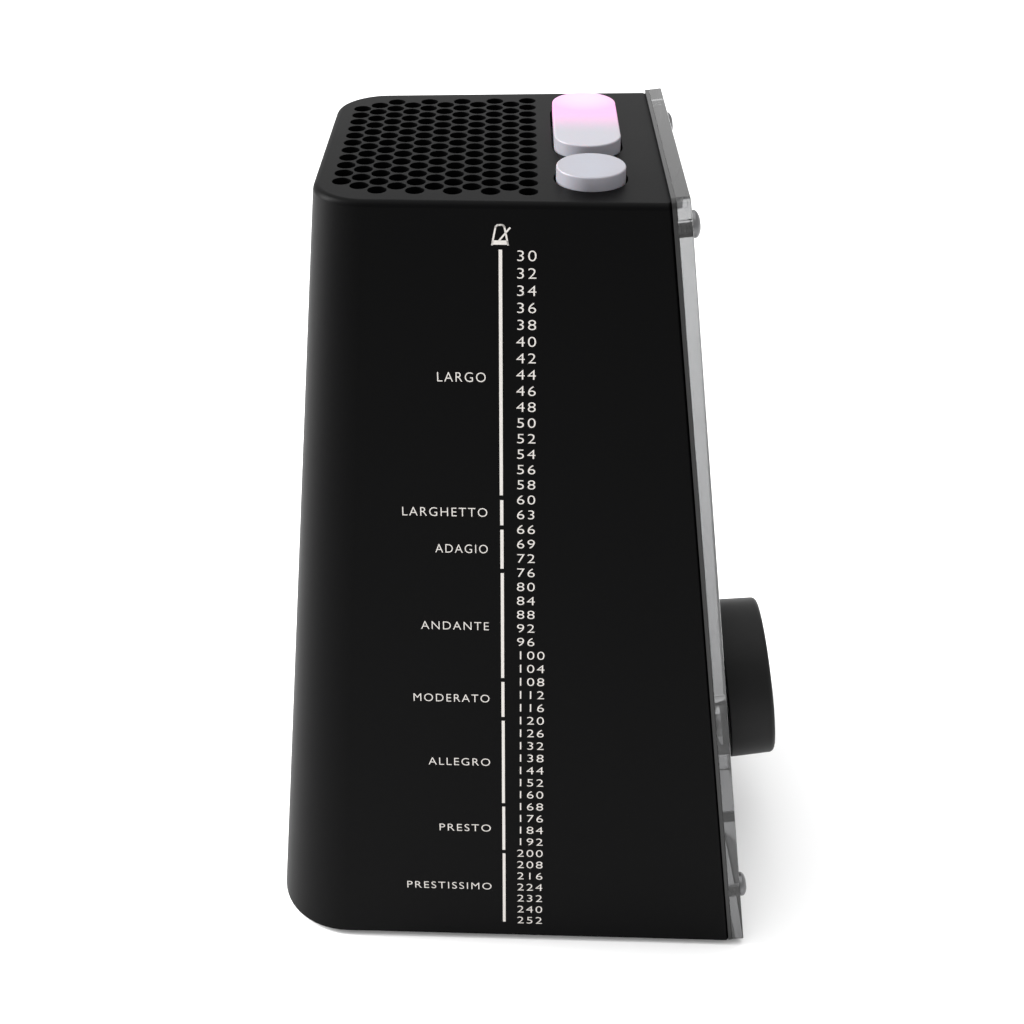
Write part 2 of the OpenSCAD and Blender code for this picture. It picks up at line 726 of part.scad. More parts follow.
module tap_switch() color([0.2, 0.2, 0.2]) key_switch(-round_key_x);

module tap_plunger() color([0.6, 0.15, 0.1]) plunger(-round_key_x);

module beat_lamp() color([0.95, 0.7, 0.85])
    translate([long_key_x + long_key_l / 4 - lamp_w / 2, key_y - lamp_w / 2, key_board_z + board_t])
        cube([lamp_w, lamp_w, lamp_h]);

module key_board() color([0.05, 0.25, 0.12])
    translate([-key_board_w / 2, key_y - key_board_d / 2, key_board_z])
        cube([key_board_w, key_board_d, board_t]);

module speaker_frame() color([0.55, 0.55, 0.56])
    translate([0, speaker_y, speaker_z]) rotate_extrude() polygon([
        [cone_r, 0], [speaker_d / 2, 0], [speaker_d / 2, flange_t], [cone_r - basket_t / 4, flange_t],
        [basket_r - basket_t / 2, basket_t - basket_h], [0, basket_t - basket_h], [0, -basket_h],
        [basket_r, -basket_h]]);

module speaker_magnet() color([0.3, 0.3, 0.31])
    translate([0, speaker_y, speaker_z - basket_h - magnet_t]) cylinder(h = magnet_t, d = magnet_d);

module speaker_cone() color([0.14, 0.13, 0.12])
    translate([0, speaker_y, speaker_z + flange_t]) rotate_extrude() polygon([
        [0, -cone_drop], [cap_r, -cone_drop - cone_t], [cone_r - 2 * roll_w, -cone_t],
        [cone_r - roll_w, 0], [cone_r + roll_w, 0], [cone_r + roll_w, cone_t], [cone_r - roll_w, cone_t],
        [cone_r - 2 * roll_w, 0], [cap_r, -cone_drop], [0, cone_t - cone_drop]]);

module speaker_gasket() color([0.1, 0.1, 0.1])
    translate([0, speaker_y, ceiling_z - gasket_t]) difference() {
        cylinder(h = gasket_t, d = speaker_d);
        translate([0, 0, -cut]) cylinder(h = gasket_t + 2 * cut, r = cone_r + 0.8);
    }

module battery_tray() color([0.1, 0.1, 0.1]) on_rear() difference() {
    translate([-bay_w - tray_t, bay_v0 - tray_t, tray_w - tray_depth])
        cube([2 * (bay_w + tray_t), bay_l + 2 * tray_t, tray_depth]);
    translate([-bay_w, bay_v0, tray_w - tray_depth + tray_t]) cube([2 * bay_w, bay_l, tray_depth]);
}

module battery_cells() color([0.3, 0.32, 0.36])
    for (i = [0 : cells - 1]) on_rear(cell_u(i), cell_v0 + (i % 2) * (button_l - spring_l), cell_w)
        rotate([i % 2 == 0 ? -90 : 90, 0, 0]) translate([0, 0, i % 2 == 0 ? 0 : -cell_l]) cell_body();

// A cell standing on its flat end
module cell_body() {
    cylinder(h = cell_l, d = cell_d);
    cylinder(h = cell_l + button_l, d = button_d);
}

// Both ends of the bay in turn: the springs stand at the flat ends, the plates at the buttons
module contact_at(i, spring) {
    low = (i % 2 == 0) == spring;
    on_rear(cell_u(i), low ? bay_v0 : bay_v0 + bay_l, cell_w) rotate([low ? -90 : 90, 0, 0]) children();
}

module contact_plate()
    translate([contact_in - cell_d / 2, contact_in - cell_d / 2, 0])
        cube([cell_d - 2 * contact_in, cell_d - 2 * contact_in, contact_t]);

module spring_contacts() color([0.75, 0.76, 0.78])
    for (i = [0 : cells - 1]) contact_at(i, true) {
        contact_plate();
        for (k = [0 : coils - 1]) translate([0, 0, contact_t + k * spring_l / coils]) rotate_extrude()
            translate([coil_r - coil_step * k, spring_l / coils / 2]) circle(d = spring_l / coils, $fn = 24);
    }

module plate_contacts() color([0.75, 0.76, 0.78])
    for (i = [0 : cells - 1]) contact_at(i, false) contact_plate();

module battery_door() color([0.09, 0.09, 0.09]) on_rear() {
    difference() {
        union() {
            translate([-bay_w, hinge_v, -wall]) cube([2 * bay_w, door_h + door_rise - hinge_v, wall]);
            translate([-bay_w, hinge_v, hinge_w])
                rotate([0, 90, 0]) cylinder(h = 2 * bay_w, d = barrel_d);
        }
        for (k = [0 : grips - 1])
            translate([-grip_l / 2, door_rise + door_h - grip_drop - grip_pitch * k, -grip_t])
                cube([grip_l, grip_h, cut]);
    }
    translate([-bay_w - pin_l, hinge_v, hinge_w])
        rotate([0, 90, 0]) cylinder(h = 2 * (bay_w + pin_l), d = pin_d);
}

module side_board() color([0.05, 0.25, 0.12])
    on_side(0, -side_board_l / 2 + 0.5, side_z0 - side_board_d)
        cube([board_t, side_board_l, side_board_d]);

module phones_jack() color([0.13, 0.13, 0.13]) on_side(jack_x, jack_y) difference() {
    union() {
        translate([-jack_w / 2, -jack_w / 2, side_z0 - jack_l + 1])
            cube([jack_w, jack_w, jack_l - 1]);
        translate([0, 0, side_z0 - 0.1]) cylinder(h = -side_z0, d = jack_w - 0.6);
    }
    translate([0, 0, -jack_l]) cylinder(h = jack_l + cut, d = plug_d + plug_gap);
}

module volume_pot() color([0.25, 0.25, 0.26]) on_side(-pot_h, wheel_y, wheel_z) difference() {
    translate([0, -pot_w / 2, -pot_w / 2]) cube([pot_h, pot_w, pot_w]);
    translate([-cut, 0, 0]) rotate([0, 90, 0]) cylinder(h = pot_h - pot_floor + cut, d = wheel_hub_d + 2 * run_gap);
}

module volume_wheel() color([0.1, 0.1, 0.1]) on_side(wheel_x, wheel_y, wheel_z)
    rotate([0, 90, 0]) {
        difference() {
            cylinder(h = wheel_t, d = wheel_d);
            for (a = [0 : notch_step : 359]) rotate([0, 0, a]) translate([wheel_d / 2, 0, -cut])
                cylinder(h = wheel_t + 2 * cut, d = notch_d, $fn = 16);
        }
        cylinder(h = wheel_t + pot_h - pot_floor, d = wheel_hub_d);
    }

// A round lead swept along points, with a ring of sides at each
function unit(v) = v / norm(v);
function tangent(p, i) = unit(p[min(i + 1, len(p) - 1)] - p[max(i - 1, 0)]);
function ring(p, i, r, n) = let (t = tangent(p, i), a = unit(cross(t, [0.1, 1, 0.2])), b = cross(t, a))
    [for (k = [0 : n - 1]) p[i] + r * (cos(360 * k / n) * a + sin(360 * k / n) * b)];
function bow(a, b, c, d, n = 14) = [for (k = [0 : n]) let (t = k / n, s = 1 - t)
    s * s * s * a + 3 * s * s * t * b + 3 * s * t * t * c + t * t * t * d];

module lead(p, d, n = 8) polyhedron(
    points = [for (i = [0 : len(p) - 1]) each ring(p, i, d / 2, n)],
    faces = concat([[for (k = [0 : n - 1]) k]],
        [for (i = [0 : len(p) - 2], k = [0 : n - 1], t = [0, 1])
            let (a = i * n + k, b = i * n + (k + 1) % n)
            t == 0 ? [a, a + n, b + n] : [a, b + n, b]],
        [[for (k = [n - 1 : -1 : 0]) (len(p) - 1) * n + k]]));

module speaker_leads() for (s = [-1, 1]) color(s < 0 ? [0.6, 0.1, 0.1] : [0.08, 0.08, 0.08]) {
    a = [s * lead_d * 4 / 3, speaker_y - magnet_d / 2 - 2 * lead_d, speaker_z - basket_h - tray_gap];
    b = [s * 3, key_y + key_board_d / 2 - 2, key_board_z - lead_d / 2 - slack];
    lead(bow(a, a + [0, -1, -5], b + [0, 3, -7], b), lead_d);
}

module battery_leads() for (s = [-1, 1]) color(s < 0 ? [0.6, 0.1, 0.1] : [0.08, 0.08, 0.08]) {
    y = rear_at(bay_v0 + bay_l) + tray_w - tray_depth - lead_d;
    a = [s * 6, y, foot_h + bay_v0 + bay_l / 2];
    b = [s * 4, front_at(bay_v0 + bay_l / 2) - board_w0 + 1.4, foot_h + bay_v0 + bay_l / 2 - 6];
    lead(bow(a, a + [0, -9, -9], b + [0, 10, -9], b), lead_d);
}

module board_ribbon() color([0.75, 0.75, 0.7]) {
    z0 = foot_h + body_h - board_margin * cos(lean) - 4;
    y0 = front_at(z0 - foot_h) - board_w0 / cos(lean) + 0.4;
    translate([-ribbon_w / 2, 0, 0]) rotate([90, 0, 90]) linear_extrude(ribbon_w) polygon([
        [y0, z0], [y0 + 1.2, z0 + 1], [y0 + 1.8, key_board_z - 1.4], [y0 + 1.8, key_board_z - 0.1],
        [y0 + 1.4, key_board_z - 0.1], [y0 + 1.4, key_board_z - 1.4], [y0 + 0.8, z0 + 1.2], [y0, z0 + 0.6]]);
}

housing_shell();
base_plate();
rubber_feet();
case_screws();
front_panel();
front_plate();
plate_screws();
plate_inserts();
main_board();
display_glass();
display_frame();
display_light();
zebra_strips();
encoder_body();
encoder_shaft();
tempo_dial();
start_key();
start_plunger();
start_switch();
tap_key();
tap_plunger();
tap_switch();
beat_lamp();
key_board();
speaker_frame();
speaker_magnet();
speaker_cone();
speaker_gasket();
battery_tray();
battery_cells();
spring_contacts();
plate_contacts();
battery_door();
side_board();
phones_jack();
volume_pot();
volume_wheel();
speaker_leads();
battery_leads();
board_ribbon();
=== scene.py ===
"""Electronic metronome in a tapered desk case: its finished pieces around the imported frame.

Units are metres. The frame stands on Z = 0 with its leaning front towards -Y, and the printed tempo scale
is on the -X side. Every place is measured on the frame's own nodes, joints and mounts.
"""

import json
import math

import bmesh
import bpy
from bpy.props import FloatProperty, FloatVectorProperty, IntProperty, PointerProperty
from mathutils import Matrix, Vector


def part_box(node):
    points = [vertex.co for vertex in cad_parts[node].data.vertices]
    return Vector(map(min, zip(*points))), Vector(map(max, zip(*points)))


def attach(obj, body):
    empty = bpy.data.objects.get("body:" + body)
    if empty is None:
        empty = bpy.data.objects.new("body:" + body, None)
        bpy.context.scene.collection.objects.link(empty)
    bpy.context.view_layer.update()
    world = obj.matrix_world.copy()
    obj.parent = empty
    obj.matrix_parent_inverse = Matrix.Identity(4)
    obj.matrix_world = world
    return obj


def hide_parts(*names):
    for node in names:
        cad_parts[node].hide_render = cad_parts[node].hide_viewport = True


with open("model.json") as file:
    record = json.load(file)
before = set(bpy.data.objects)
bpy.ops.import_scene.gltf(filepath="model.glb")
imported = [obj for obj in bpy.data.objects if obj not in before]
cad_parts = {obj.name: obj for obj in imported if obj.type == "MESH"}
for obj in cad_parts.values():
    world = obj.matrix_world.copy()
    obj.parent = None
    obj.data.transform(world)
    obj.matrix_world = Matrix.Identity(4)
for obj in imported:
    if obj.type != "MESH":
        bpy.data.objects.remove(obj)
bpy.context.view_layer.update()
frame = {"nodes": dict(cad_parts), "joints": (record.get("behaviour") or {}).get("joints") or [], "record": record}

bl_info = {
    "name": "Desk Metronome",
    "version": (1, 0, 0),
    "blender": (4, 5, 0),
    "location": "View3D > Sidebar > Metronome",
    "description": "Builds an electronic desk metronome around its packed frame",
    "category": "Add Mesh",
}

NODES = frame["nodes"]
JOINTS = {joint["name"]: joint for joint in frame["joints"]}
MOUNTS = {mount["name"]: mount for mount in frame["record"]["mounts"]}
TINY = 1e-5
PAST = 0.001  # how far a cutter runs past the face that it cuts


# ---------------------------------------------------------------- places measured on the frame


def basis(origin, across, out):
    """A place whose X runs across, whose Z points out, and whose Y completes them."""
    z = Vector(out).normalized()
    x = Vector(across)
    x = (x - x.dot(z) * z).normalized()
    y = z.cross(x)
    return Matrix.Translation(origin) @ Matrix((x, y, z)).transposed().to_4x4()


def span(node, place=Matrix(), keep=lambda point: True):
    """Lowest and highest corner of a CAD node in a place's own axes, over the points to keep."""
    inverse = place.inverted()
    points = [inverse @ vertex.co for vertex in NODES[node].data.vertices]
    kept = [point for point in points if keep(point)]
    return Vector(map(min, zip(*kept))), Vector(map(max, zip(*kept)))


def four(node, place=Matrix()):
    """The box of each of four like solids, one in each quarter round the middle."""
    low, high = span(node, place)
    middle = (low + high) / 2
    boxes = []
    for sx in (-1, 1):
        for sy in (-1, 1):
            boxes.append(span(node, place, lambda p: (p.x - middle.x) * sx > 0 and (p.y - middle.y) * sy > 0))
    return boxes


def over_middle(box, place=Matrix(), rise=0.0):
    """A place moved to the middle of a box in its axes, and up by a rise."""
    middle = (box[0] + box[1]) / 2
    return place @ Matrix.Translation((middle.x, middle.y, rise))


def radius_of(box):
    """The radius of the round solid that a box holds."""
    return (box[1].x - box[0].x) / 2


SHELL_LOW, SHELL_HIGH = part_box("housing_shell")
RIM_LOW, RIM_HIGH = span("housing_shell", keep=lambda p: p.z > SHELL_HIGH.z - TINY)
HEIGHT = SHELL_HIGH.z - SHELL_LOW.z


class CaseSizes(bpy.types.PropertyGroup):
    """Sizes of the case that can't be read from the frame's boxes."""

    edge: FloatProperty(
        name="Top edge", description="Radius round the top", default=0.0008, unit="LENGTH")
    front_corner: FloatProperty(
        name="Front corners", description="Radius of the front corners", default=0.0006, unit="LENGTH")
    rear_corner: FloatProperty(
        name="Rear corners", description="Radius of the rear corners at the bottom", default=0.0112,
        unit="LENGTH")
    rear_corner_top: FloatProperty(
        name="Rear corners, top", description="Radius of the rear corners at the top", default=0.007,
        unit="LENGTH")
    narrowing: FloatProperty(
        name="Narrowing", description="How much the half width shrinks from front to rear, per metre",
        default=0.03295)
    wall: FloatProperty(
        name="Wall", description="Thickness of the walls", default=0.002, unit="LENGTH")
    top_wall: FloatProperty(
        name="Top wall", description="Thickness of the top", default=0.0022, unit="LENGTH")
    hole: FloatProperty(
        name="Grille hole", description="Diameter of a grille hole", default=0.00235, unit="LENGTH")
    hole_flare: FloatProperty(
        name="Hole flare", description="Width of the flare round a grille hole", default=0.00004,
        unit="LENGTH")
    hole_across: FloatProperty(
        name="Hole spacing", description="Spacing of the holes across the case", default=0.00286,
        unit="LENGTH")
    hole_along: FloatProperty(
        name="Column spacing", description="Spacing of the hole columns", default=0.00229, unit="LENGTH")
    columns: IntProperty(name="Columns", description="Number of hole columns", default=11)
    rows: IntProperty(name="Rows", description="Number of holes in a long column", default=13)
    narrower: FloatProperty(
        name="Column narrowing", description="Share by which each column is narrower", default=0.0042)
    first_column: FloatProperty(
        name="First column", description="Distance of the first column behind the top's front edge",
        default=0.0169, unit="LENGTH")
    colour: FloatVectorProperty(
        name="Case colour", description="Colour of the moulding", default=(0.001, 0.001, 0.0011),
        subtype="COLOR", size=3)


class ScaleSizes(bpy.types.PropertyGroup):
    """The printed tempo scale on the left-hand side."""

    line_y: FloatProperty(
        name="Line", description="Place of the scale's line from front to rear", default=0.004125,
        unit="LENGTH")
    first_z: FloatProperty(
        name="First number", description="Height of the first number", default=0.11178, unit="LENGTH")
    step: FloatProperty(
        name="Step", description="Spacing of the numbers", default=0.0022439, unit="LENGTH")
    line_width: FloatProperty(
        name="Line width", description="Width of the line", default=0.00042, unit="LENGTH")
    figure_height: FloatProperty(
        name="Figure height", description="Height of a figure", default=0.0014, unit="LENGTH")
    figure_gap: FloatProperty(
        name="Figure gap", description="Distance of the figures from the line", default=0.00188,
        unit="LENGTH")
    word_height: FloatProperty(
        name="Word height", description="Height of a word's letters", default=0.00136, unit="LENGTH")
    word_gap: FloatProperty(
        name="Word gap", description="Distance of the words from the line", default=0.00181,
        unit="LENGTH")
    figure_spacing: FloatProperty(
        name="Figure spacing", description="Spacing of the figures as a share of the plain one", default=1.17)
    word_spacing: FloatProperty(
        name="Word spacing", description="Spacing of the letters as a share of the plain one", default=1.2)
    ink: FloatProperty(
        name="Ink", description="Thickness of the print", default=0.00002, unit="LENGTH")
    colour: FloatVectorProperty(
        name="Ink colour", description="Colour of the print", default=(0.6, 0.57, 0.54),
        subtype="COLOR", size=3)


class FrontSizes(bpy.types.PropertyGroup):
    """The clear plate, its screws and the dial."""

    plate_top_corner: FloatProperty(
        name="Plate's top corners", description="Radius of the plate's top corners", default=0.0012,
        unit="LENGTH")
    plate_low_corner: FloatProperty(
        name="Plate's bottom corners", description="Radius of the plate's bottom corners",
        default=0.0006, unit="LENGTH")
    plate_edge: FloatProperty(
        name="Plate's edge", description="Width of the polished bevel round the plate",
        default=0.00012, unit="LENGTH")
    print_t: FloatProperty(
        name="Print", description="Thickness of the print behind the plate", default=0.00002,
        unit="LENGTH")
    screw_head: FloatProperty(
        name="Screw head", description="Thickness of a plate screw's head", default=0.0012,
        unit="LENGTH")
    socket: FloatProperty(
        name="Screw socket", description="Width across the flats of a plate screw's socket",
        default=0.0013, unit="LENGTH")
    pitch: FloatProperty(
        name="Thread pitch", description="Pitch of the plate screws' thread", default=0.0004,
        unit="LENGTH")
    dial_taper: FloatProperty(
        name="Dial taper", description="How much smaller the dial's radius is at its front",
        default=0.00025, unit="LENGTH")
    dial_edge: FloatProperty(
        name="Dial edge", description="Radius of the dial's front edge", default=0.0008,
        unit="LENGTH")
    dial_hollow: FloatProperty(
        name="Dial hollow", description="Depth of the shallow hollow in the dial's face",
        default=0.0004, unit="LENGTH")
    dial_colour: FloatVectorProperty(
        name="Dial colour", description="Colour of the dial", default=(0.004, 0.004, 0.0041),
        subtype="COLOR", size=3)


class KeySizes(bpy.types.PropertyGroup):
    """The two keys in the top."""

    edge: FloatProperty(
        name="Key edge", description="Radius round a key's top", default=0.0002, unit="LENGTH")
    wall: FloatProperty(
        name="Key wall", description="Thickness of a key's walls", default=0.0013, unit="LENGTH")
    flange: FloatProperty(
        name="Flange", description="Thickness of the flange round a key's foot", default=0.0012,
        unit="LENGTH")
    gap: FloatProperty(
        name="Key gap", description="Clearance round a key in its hole", default=0.0003,
        unit="LENGTH")
    colour: FloatVectorProperty(
        name="Key colour", description="Colour of the keys", default=(0.27, 0.264, 0.295),
        subtype="COLOR", size=3)
    glow: FloatVectorProperty(
        name="Glow colour", description="Colour of the light in the long key", default=(1.0, 0.4, 0.75),
        subtype="COLOR", size=3)
    glow_strength: FloatProperty(
        name="Glow", description="Strength of the light in the long key", default=0.75)


class StageSizes(bpy.types.PropertyGroup):
    """The camera, the floor and the light all round."""

    camera_at: FloatVectorProperty(
        name="Camera", description="Place of the camera", default=(-0.17917, 0.00175, 0.18268),
        subtype="TRANSLATION", size=3)
    camera_down: FloatProperty(
        name="Camera pitch", description="How far the camera looks down", default=math.radians(30.43),
        subtype="ANGLE")
    lens: FloatProperty(name="Lens", description="Focal length in millimetres", default=50.28)
    shift_x: FloatProperty(name="Shift across", description="The lens's shift across", default=-0.00764)
    shift_y: FloatProperty(name="Shift up", description="The lens's shift up", default=-0.0977)
    floor: FloatProperty(name="Floor", description="Width of the floor", default=6.0, unit="LENGTH")
    floor_colour: FloatVectorProperty(
        name="Floor colour", description="Colour of the floor", default=(0.93, 0.93, 0.93),
        subtype="COLOR", size=3)
    daylight: FloatProperty(name="Daylight", description="Strength of the light all round", default=0.95)


# ---------------------------------------------------------------- the case's outline


def share(z):
    """How far up the case a height is, from 0 to 1."""
    return (z - SHELL_LOW.z) / HEIGHT


def front_at(z):
    top = RIM_LOW.y - bpy.context.scene.case_sizes.edge
    return SHELL_LOW.y + (top - SHELL_LOW.y) * share(z)


def rear_at(z):
    top = RIM_HIGH.y + bpy.context.scene.case_sizes.edge
    return SHELL_HIGH.y + (top - SHELL_HIGH.y) * share(z)


def half_at(y, z):
    """Half the case's width at a place on its sides."""
    sizes = bpy.context.scene.case_sizes
    base = SHELL_HIGH.x
    top = RIM_HIGH.x + sizes.edge
    setback = front_at(SHELL_HIGH.z) - SHELL_LOW.y
    slope = (base - top - sizes.narrowing * setback) / HEIGHT
    return base - sizes.narrowing * (y - SHELL_LOW.y) - slope * (z - SHELL_LOW.z)


def front_place():
    """The leaning front: X across, Y up it, Z out of it."""
    rise = Vector((0, front_at(SHELL_HIGH.z) - SHELL_LOW.y, HEIGHT))
    return basis((0, SHELL_LOW.y, SHELL_LOW.z), (1, 0, 0), Vector((1, 0, 0)).cross(rise))


def rear_place():
    """The leaning rear, seen from behind: X across, Y up it, Z out of it."""
    rise = Vector((0, rear_at(SHELL_HIGH.z) - SHELL_HIGH.y, HEIGHT))
    return basis((0, SHELL_HIGH.y, SHELL_LOW.z), (-1, 0, 0), Vector((-1, 0, 0)).cross(rise))


def left_side(y, z):
    """A place on the left-hand side: X towards the front, Y up it, Z out of it."""
    step = 0.001
    origin = Vector((-half_at(y, z), y, z))
    frontward = Vector((-half_at(y - step, z), y - step, z)) - origin
    upward = Vector((-half_at(y, z + step), y, z + step)) - origin
    return basis(origin, frontward, frontward.cross(upward))


# ---------------------------------------------------------------- modelling


def rounded(corners, closed=True, steps=6):
    """An outline's points from its corners, each (a, b, radius)."""
    points = []
    for i, (a, b, radius) in enumerate(corners):
        here = Vector((a, b))
        if radius <= 0 or (not closed and i in (0, len(corners) - 1)):
            points.append(here)
            continue
        back = (Vector(corners[i - 1][:2]) - here).normalized()
        ahead = (Vector(corners[(i + 1) % len(corners)][:2]) - here).normalized()
        half = back.angle(ahead) / 2
        centre = here + (back + ahead).normalized() * radius / math.sin(half)
        start = here + back * radius / math.tan(half) - centre
        end = here + ahead * radius / math.tan(half) - centre
        first = math.atan2(start.y, start.x)
        sweep = (math.atan2(end.y, end.x) - first + math.pi) % math.tau - math.pi
        for k in range(steps + 1):
            angle = first + sweep * k / steps
            points.append(centre + radius * Vector((math.cos(angle), math.sin(angle))))
    return points


def loft(rings):
    """A closed skin through rings of points that match one another."""
    bm = bmesh.new()
    loops = []
    for ring in rings:
        verts = [bm.verts.new(point) for point in ring]
        loops.append([bm.edges.new(pair) for pair in zip(verts, verts[1:] + verts[:1])])
    for lower, upper in zip(loops, loops[1:]):
        bmesh.ops.bridge_loops(bm, edges=lower + upper)
    bmesh.ops.holes_fill(bm, edges=bm.edges, sides=0)
    bmesh.ops.recalc_face_normals(bm, faces=bm.faces)
    return bm


def slab(bm, outline, low, high, place=Matrix(), edge=0.0, steps=2):
    """A flat outline pulled from one height to another, with a round or bevel on its edges."""
    verts = [bm.verts.new((point[0], point[1], low)) for point in outline]
    face = bmesh.ops.contextual_create(bm, geom=verts)["faces"]
    grown = bmesh.ops.extrude_face_region(bm, geom=face)["geom"]
    top = [item for item in grown if isinstance(item, bmesh.types.BMVert)]
    bmesh.ops.translate(bm, verts=top, vec=(0, 0, high - low))
    made = verts + top
    if edge:
        rim = {e for v in made for e in v.link_edges if abs(e.verts[0].co.z - e.verts[1].co.z) < TINY / 10}
        bevelled = bmesh.ops.bevel(bm, geom=list(rim), offset=edge, offset_type="OFFSET", affect="EDGES",
                                   segments=steps, profile=0.5, material=-1, clamp_overlap=True)
        made = list(connected(bevelled["verts"]))
    faces = dict.fromkeys(face for vertex in made for face in vertex.link_faces)
    bmesh.ops.recalc_face_normals(bm, faces=list(faces))
    bmesh.ops.transform(bm, matrix=place, verts=made)


def connected(seeds):
    """Every vertex that hangs together with the given ones."""
    found = set(seeds)
    front = list(found)
    while front:
        vertex = front.pop()
        for edge in vertex.link_edges:
            other = edge.other_vert(vertex)
            if other not in found:
                found.add(other)
                front.append(other)
    return found


def block(bm, low, high, place=Matrix(), edge=0.0):
    """A box between two corners in a place's axes."""
    low, high = Vector(low), Vector(high)
    grow = Matrix.Translation((low + high) / 2) @ Matrix.Diagonal((*(high - low), 1))
    verts = bmesh.ops.create_cube(bm, size=1, matrix=grow)["verts"]
    if edge:
        edges = {e for v in verts for e in v.link_edges}
        made = bmesh.ops.bevel(bm, geom=list(edges), offset=edge, offset_type="OFFSET", affect="EDGES",
                               segments=2, profile=0.5, material=-1, clamp_overlap=True)
        verts = list(connected(made["verts"]))
    bmesh.ops.transform(bm, matrix=place, verts=verts)


def rod(bm, radius, low, high, place=Matrix(), segments=48, end=None):
    """A round bar along a place's Z, which may taper to another radius."""
    centre = place @ Matrix.Translation((0, 0, (low + high) / 2))
    bmesh.ops.create_cone(bm, cap_ends=True, segments=segments, radius1=radius,
                          radius2=radius if end is None else end, depth=high - low, matrix=centre)


def turned(bm, profile, place=Matrix(), segments=96, copies=(Matrix(),)):
    """A turned shape: a closed profile of (radius, height) spun about a place's Z, once for each copy."""
    spun = bmesh.new()
    verts = [spun.verts.new((point[0], 0, point[1])) for point in profile]
    edges = [spun.edges.new(pair) for pair in zip(verts, verts[1:] + verts[:1])]
    on_axis = [e for e in edges if all(abs(v.co.x) < TINY / 100 for v in e.verts)]
    edges = [e for e in edges if e not in on_axis]
    bmesh.ops.delete(spun, geom=on_axis, context="EDGES_FACES")
    bmesh.ops.spin(spun, geom=verts + edges, cent=(0, 0, 0), axis=(0, 0, 1), angle=math.tau,
                   steps=segments, use_merge=True, use_duplicate=False)
    bmesh.ops.remove_doubles(spun, verts=spun.verts, dist=TINY / 100)
    bmesh.ops.recalc_face_normals(spun, faces=spun.faces)
    for copy in copies:
        mesh = bpy.data.meshes.new("rough")
        spun.to_mesh(mesh)
        mesh.transform(place @ copy)
        bm.from_mesh(mesh)
        bpy.data.meshes.remove(mesh)
    spun.free()


def combine(target, tool, operation="DIFFERENCE"):
    """Cuts one mesh from another, or joins the two, and returns the result."""
    made = []
    for bm in (target, tool):
        bmesh.ops.recalc_face_normals(bm, faces=bm.faces)
        mesh = bpy.data.meshes.new("rough")
        bm.to_mesh(mesh)
        bm.free()
        made.append(bpy.data.objects.new("rough", mesh))
        bpy.context.scene.collection.objects.link(made[-1])
    boolean = made[0].modifiers.new("Cut", "BOOLEAN")
    boolean.operation = operation
    boolean.solver = "MANIFOLD"
    boolean.object = made[1]
    result = bmesh.new()
    result.from_object(made[0], bpy.context.evaluated_depsgraph_get())
    for rough in made:
        mesh = rough.data
        bpy.data.objects.remove(rough)
        bpy.data.meshes.remove(mesh)
    if not result.faces:
        raise RuntimeError("a cut left nothing of its piece")
    return result


def finish_piece(name, bm, body, material, replaces=(), crease=30, weigh=False):
    """Turns a mesh into a named piece that rides on a body and stands for its CAD nodes."""
    bmesh.ops.dissolve_degenerate(bm, dist=TINY / 100, edges=bm.edges)
    limit = math.radians(crease)
    for face in bm.faces:
        face.smooth = True
    for edge in bm.edges:
        edge.smooth = len(edge.link_faces) == 2 and edge.calc_face_angle(0) < limit
    mesh = bpy.data.meshes.new(name)
    bm.to_mesh(mesh)
    bm.free()
    piece = bpy.data.objects.new(name, mesh)
    bpy.context.scene.collection.objects.link(piece)
    mesh.materials.append(material)
    if weigh:
        piece.modifiers.new("Even shading", "WEIGHTED_NORMAL").keep_sharp = True
    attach(piece, body)
    if replaces:
        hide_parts(*replaces)
    return piece


# ---------------------------------------------------------------- materials


class Signal:
    """An output of a material's node. Arithmetic on it adds Math nodes."""

    def __init__(self, finish, socket):
        self.finish = finish
        self.socket = socket

    def math(self, operation, *values):
        return self.finish.node("ShaderNodeMath", {"operation": operation}, dict(enumerate(values)))

    def __add__(self, other):
        return self.math("ADD", self, other)

    def __sub__(self, other):
        return self.math("SUBTRACT", self, other)

    def __rsub__(self, other):
        return self.math("SUBTRACT", other, self)

    def __mul__(self, other):
        return self.math("MULTIPLY", self, other)

    def __truediv__(self, other):
        return self.math("DIVIDE", self, other)

    def __pow__(self, other):
        return self.math("POWER", self, other)

    def __gt__(self, other):
        return self.math("GREATER_THAN", self, other)

    def __lt__(self, other):
        return self.math("LESS_THAN", self, other)

    __radd__ = __add__
    __rmul__ = __mul__

    def clamped(self):
        return self.finish.node("ShaderNodeClamp", {}, {"Value": self})


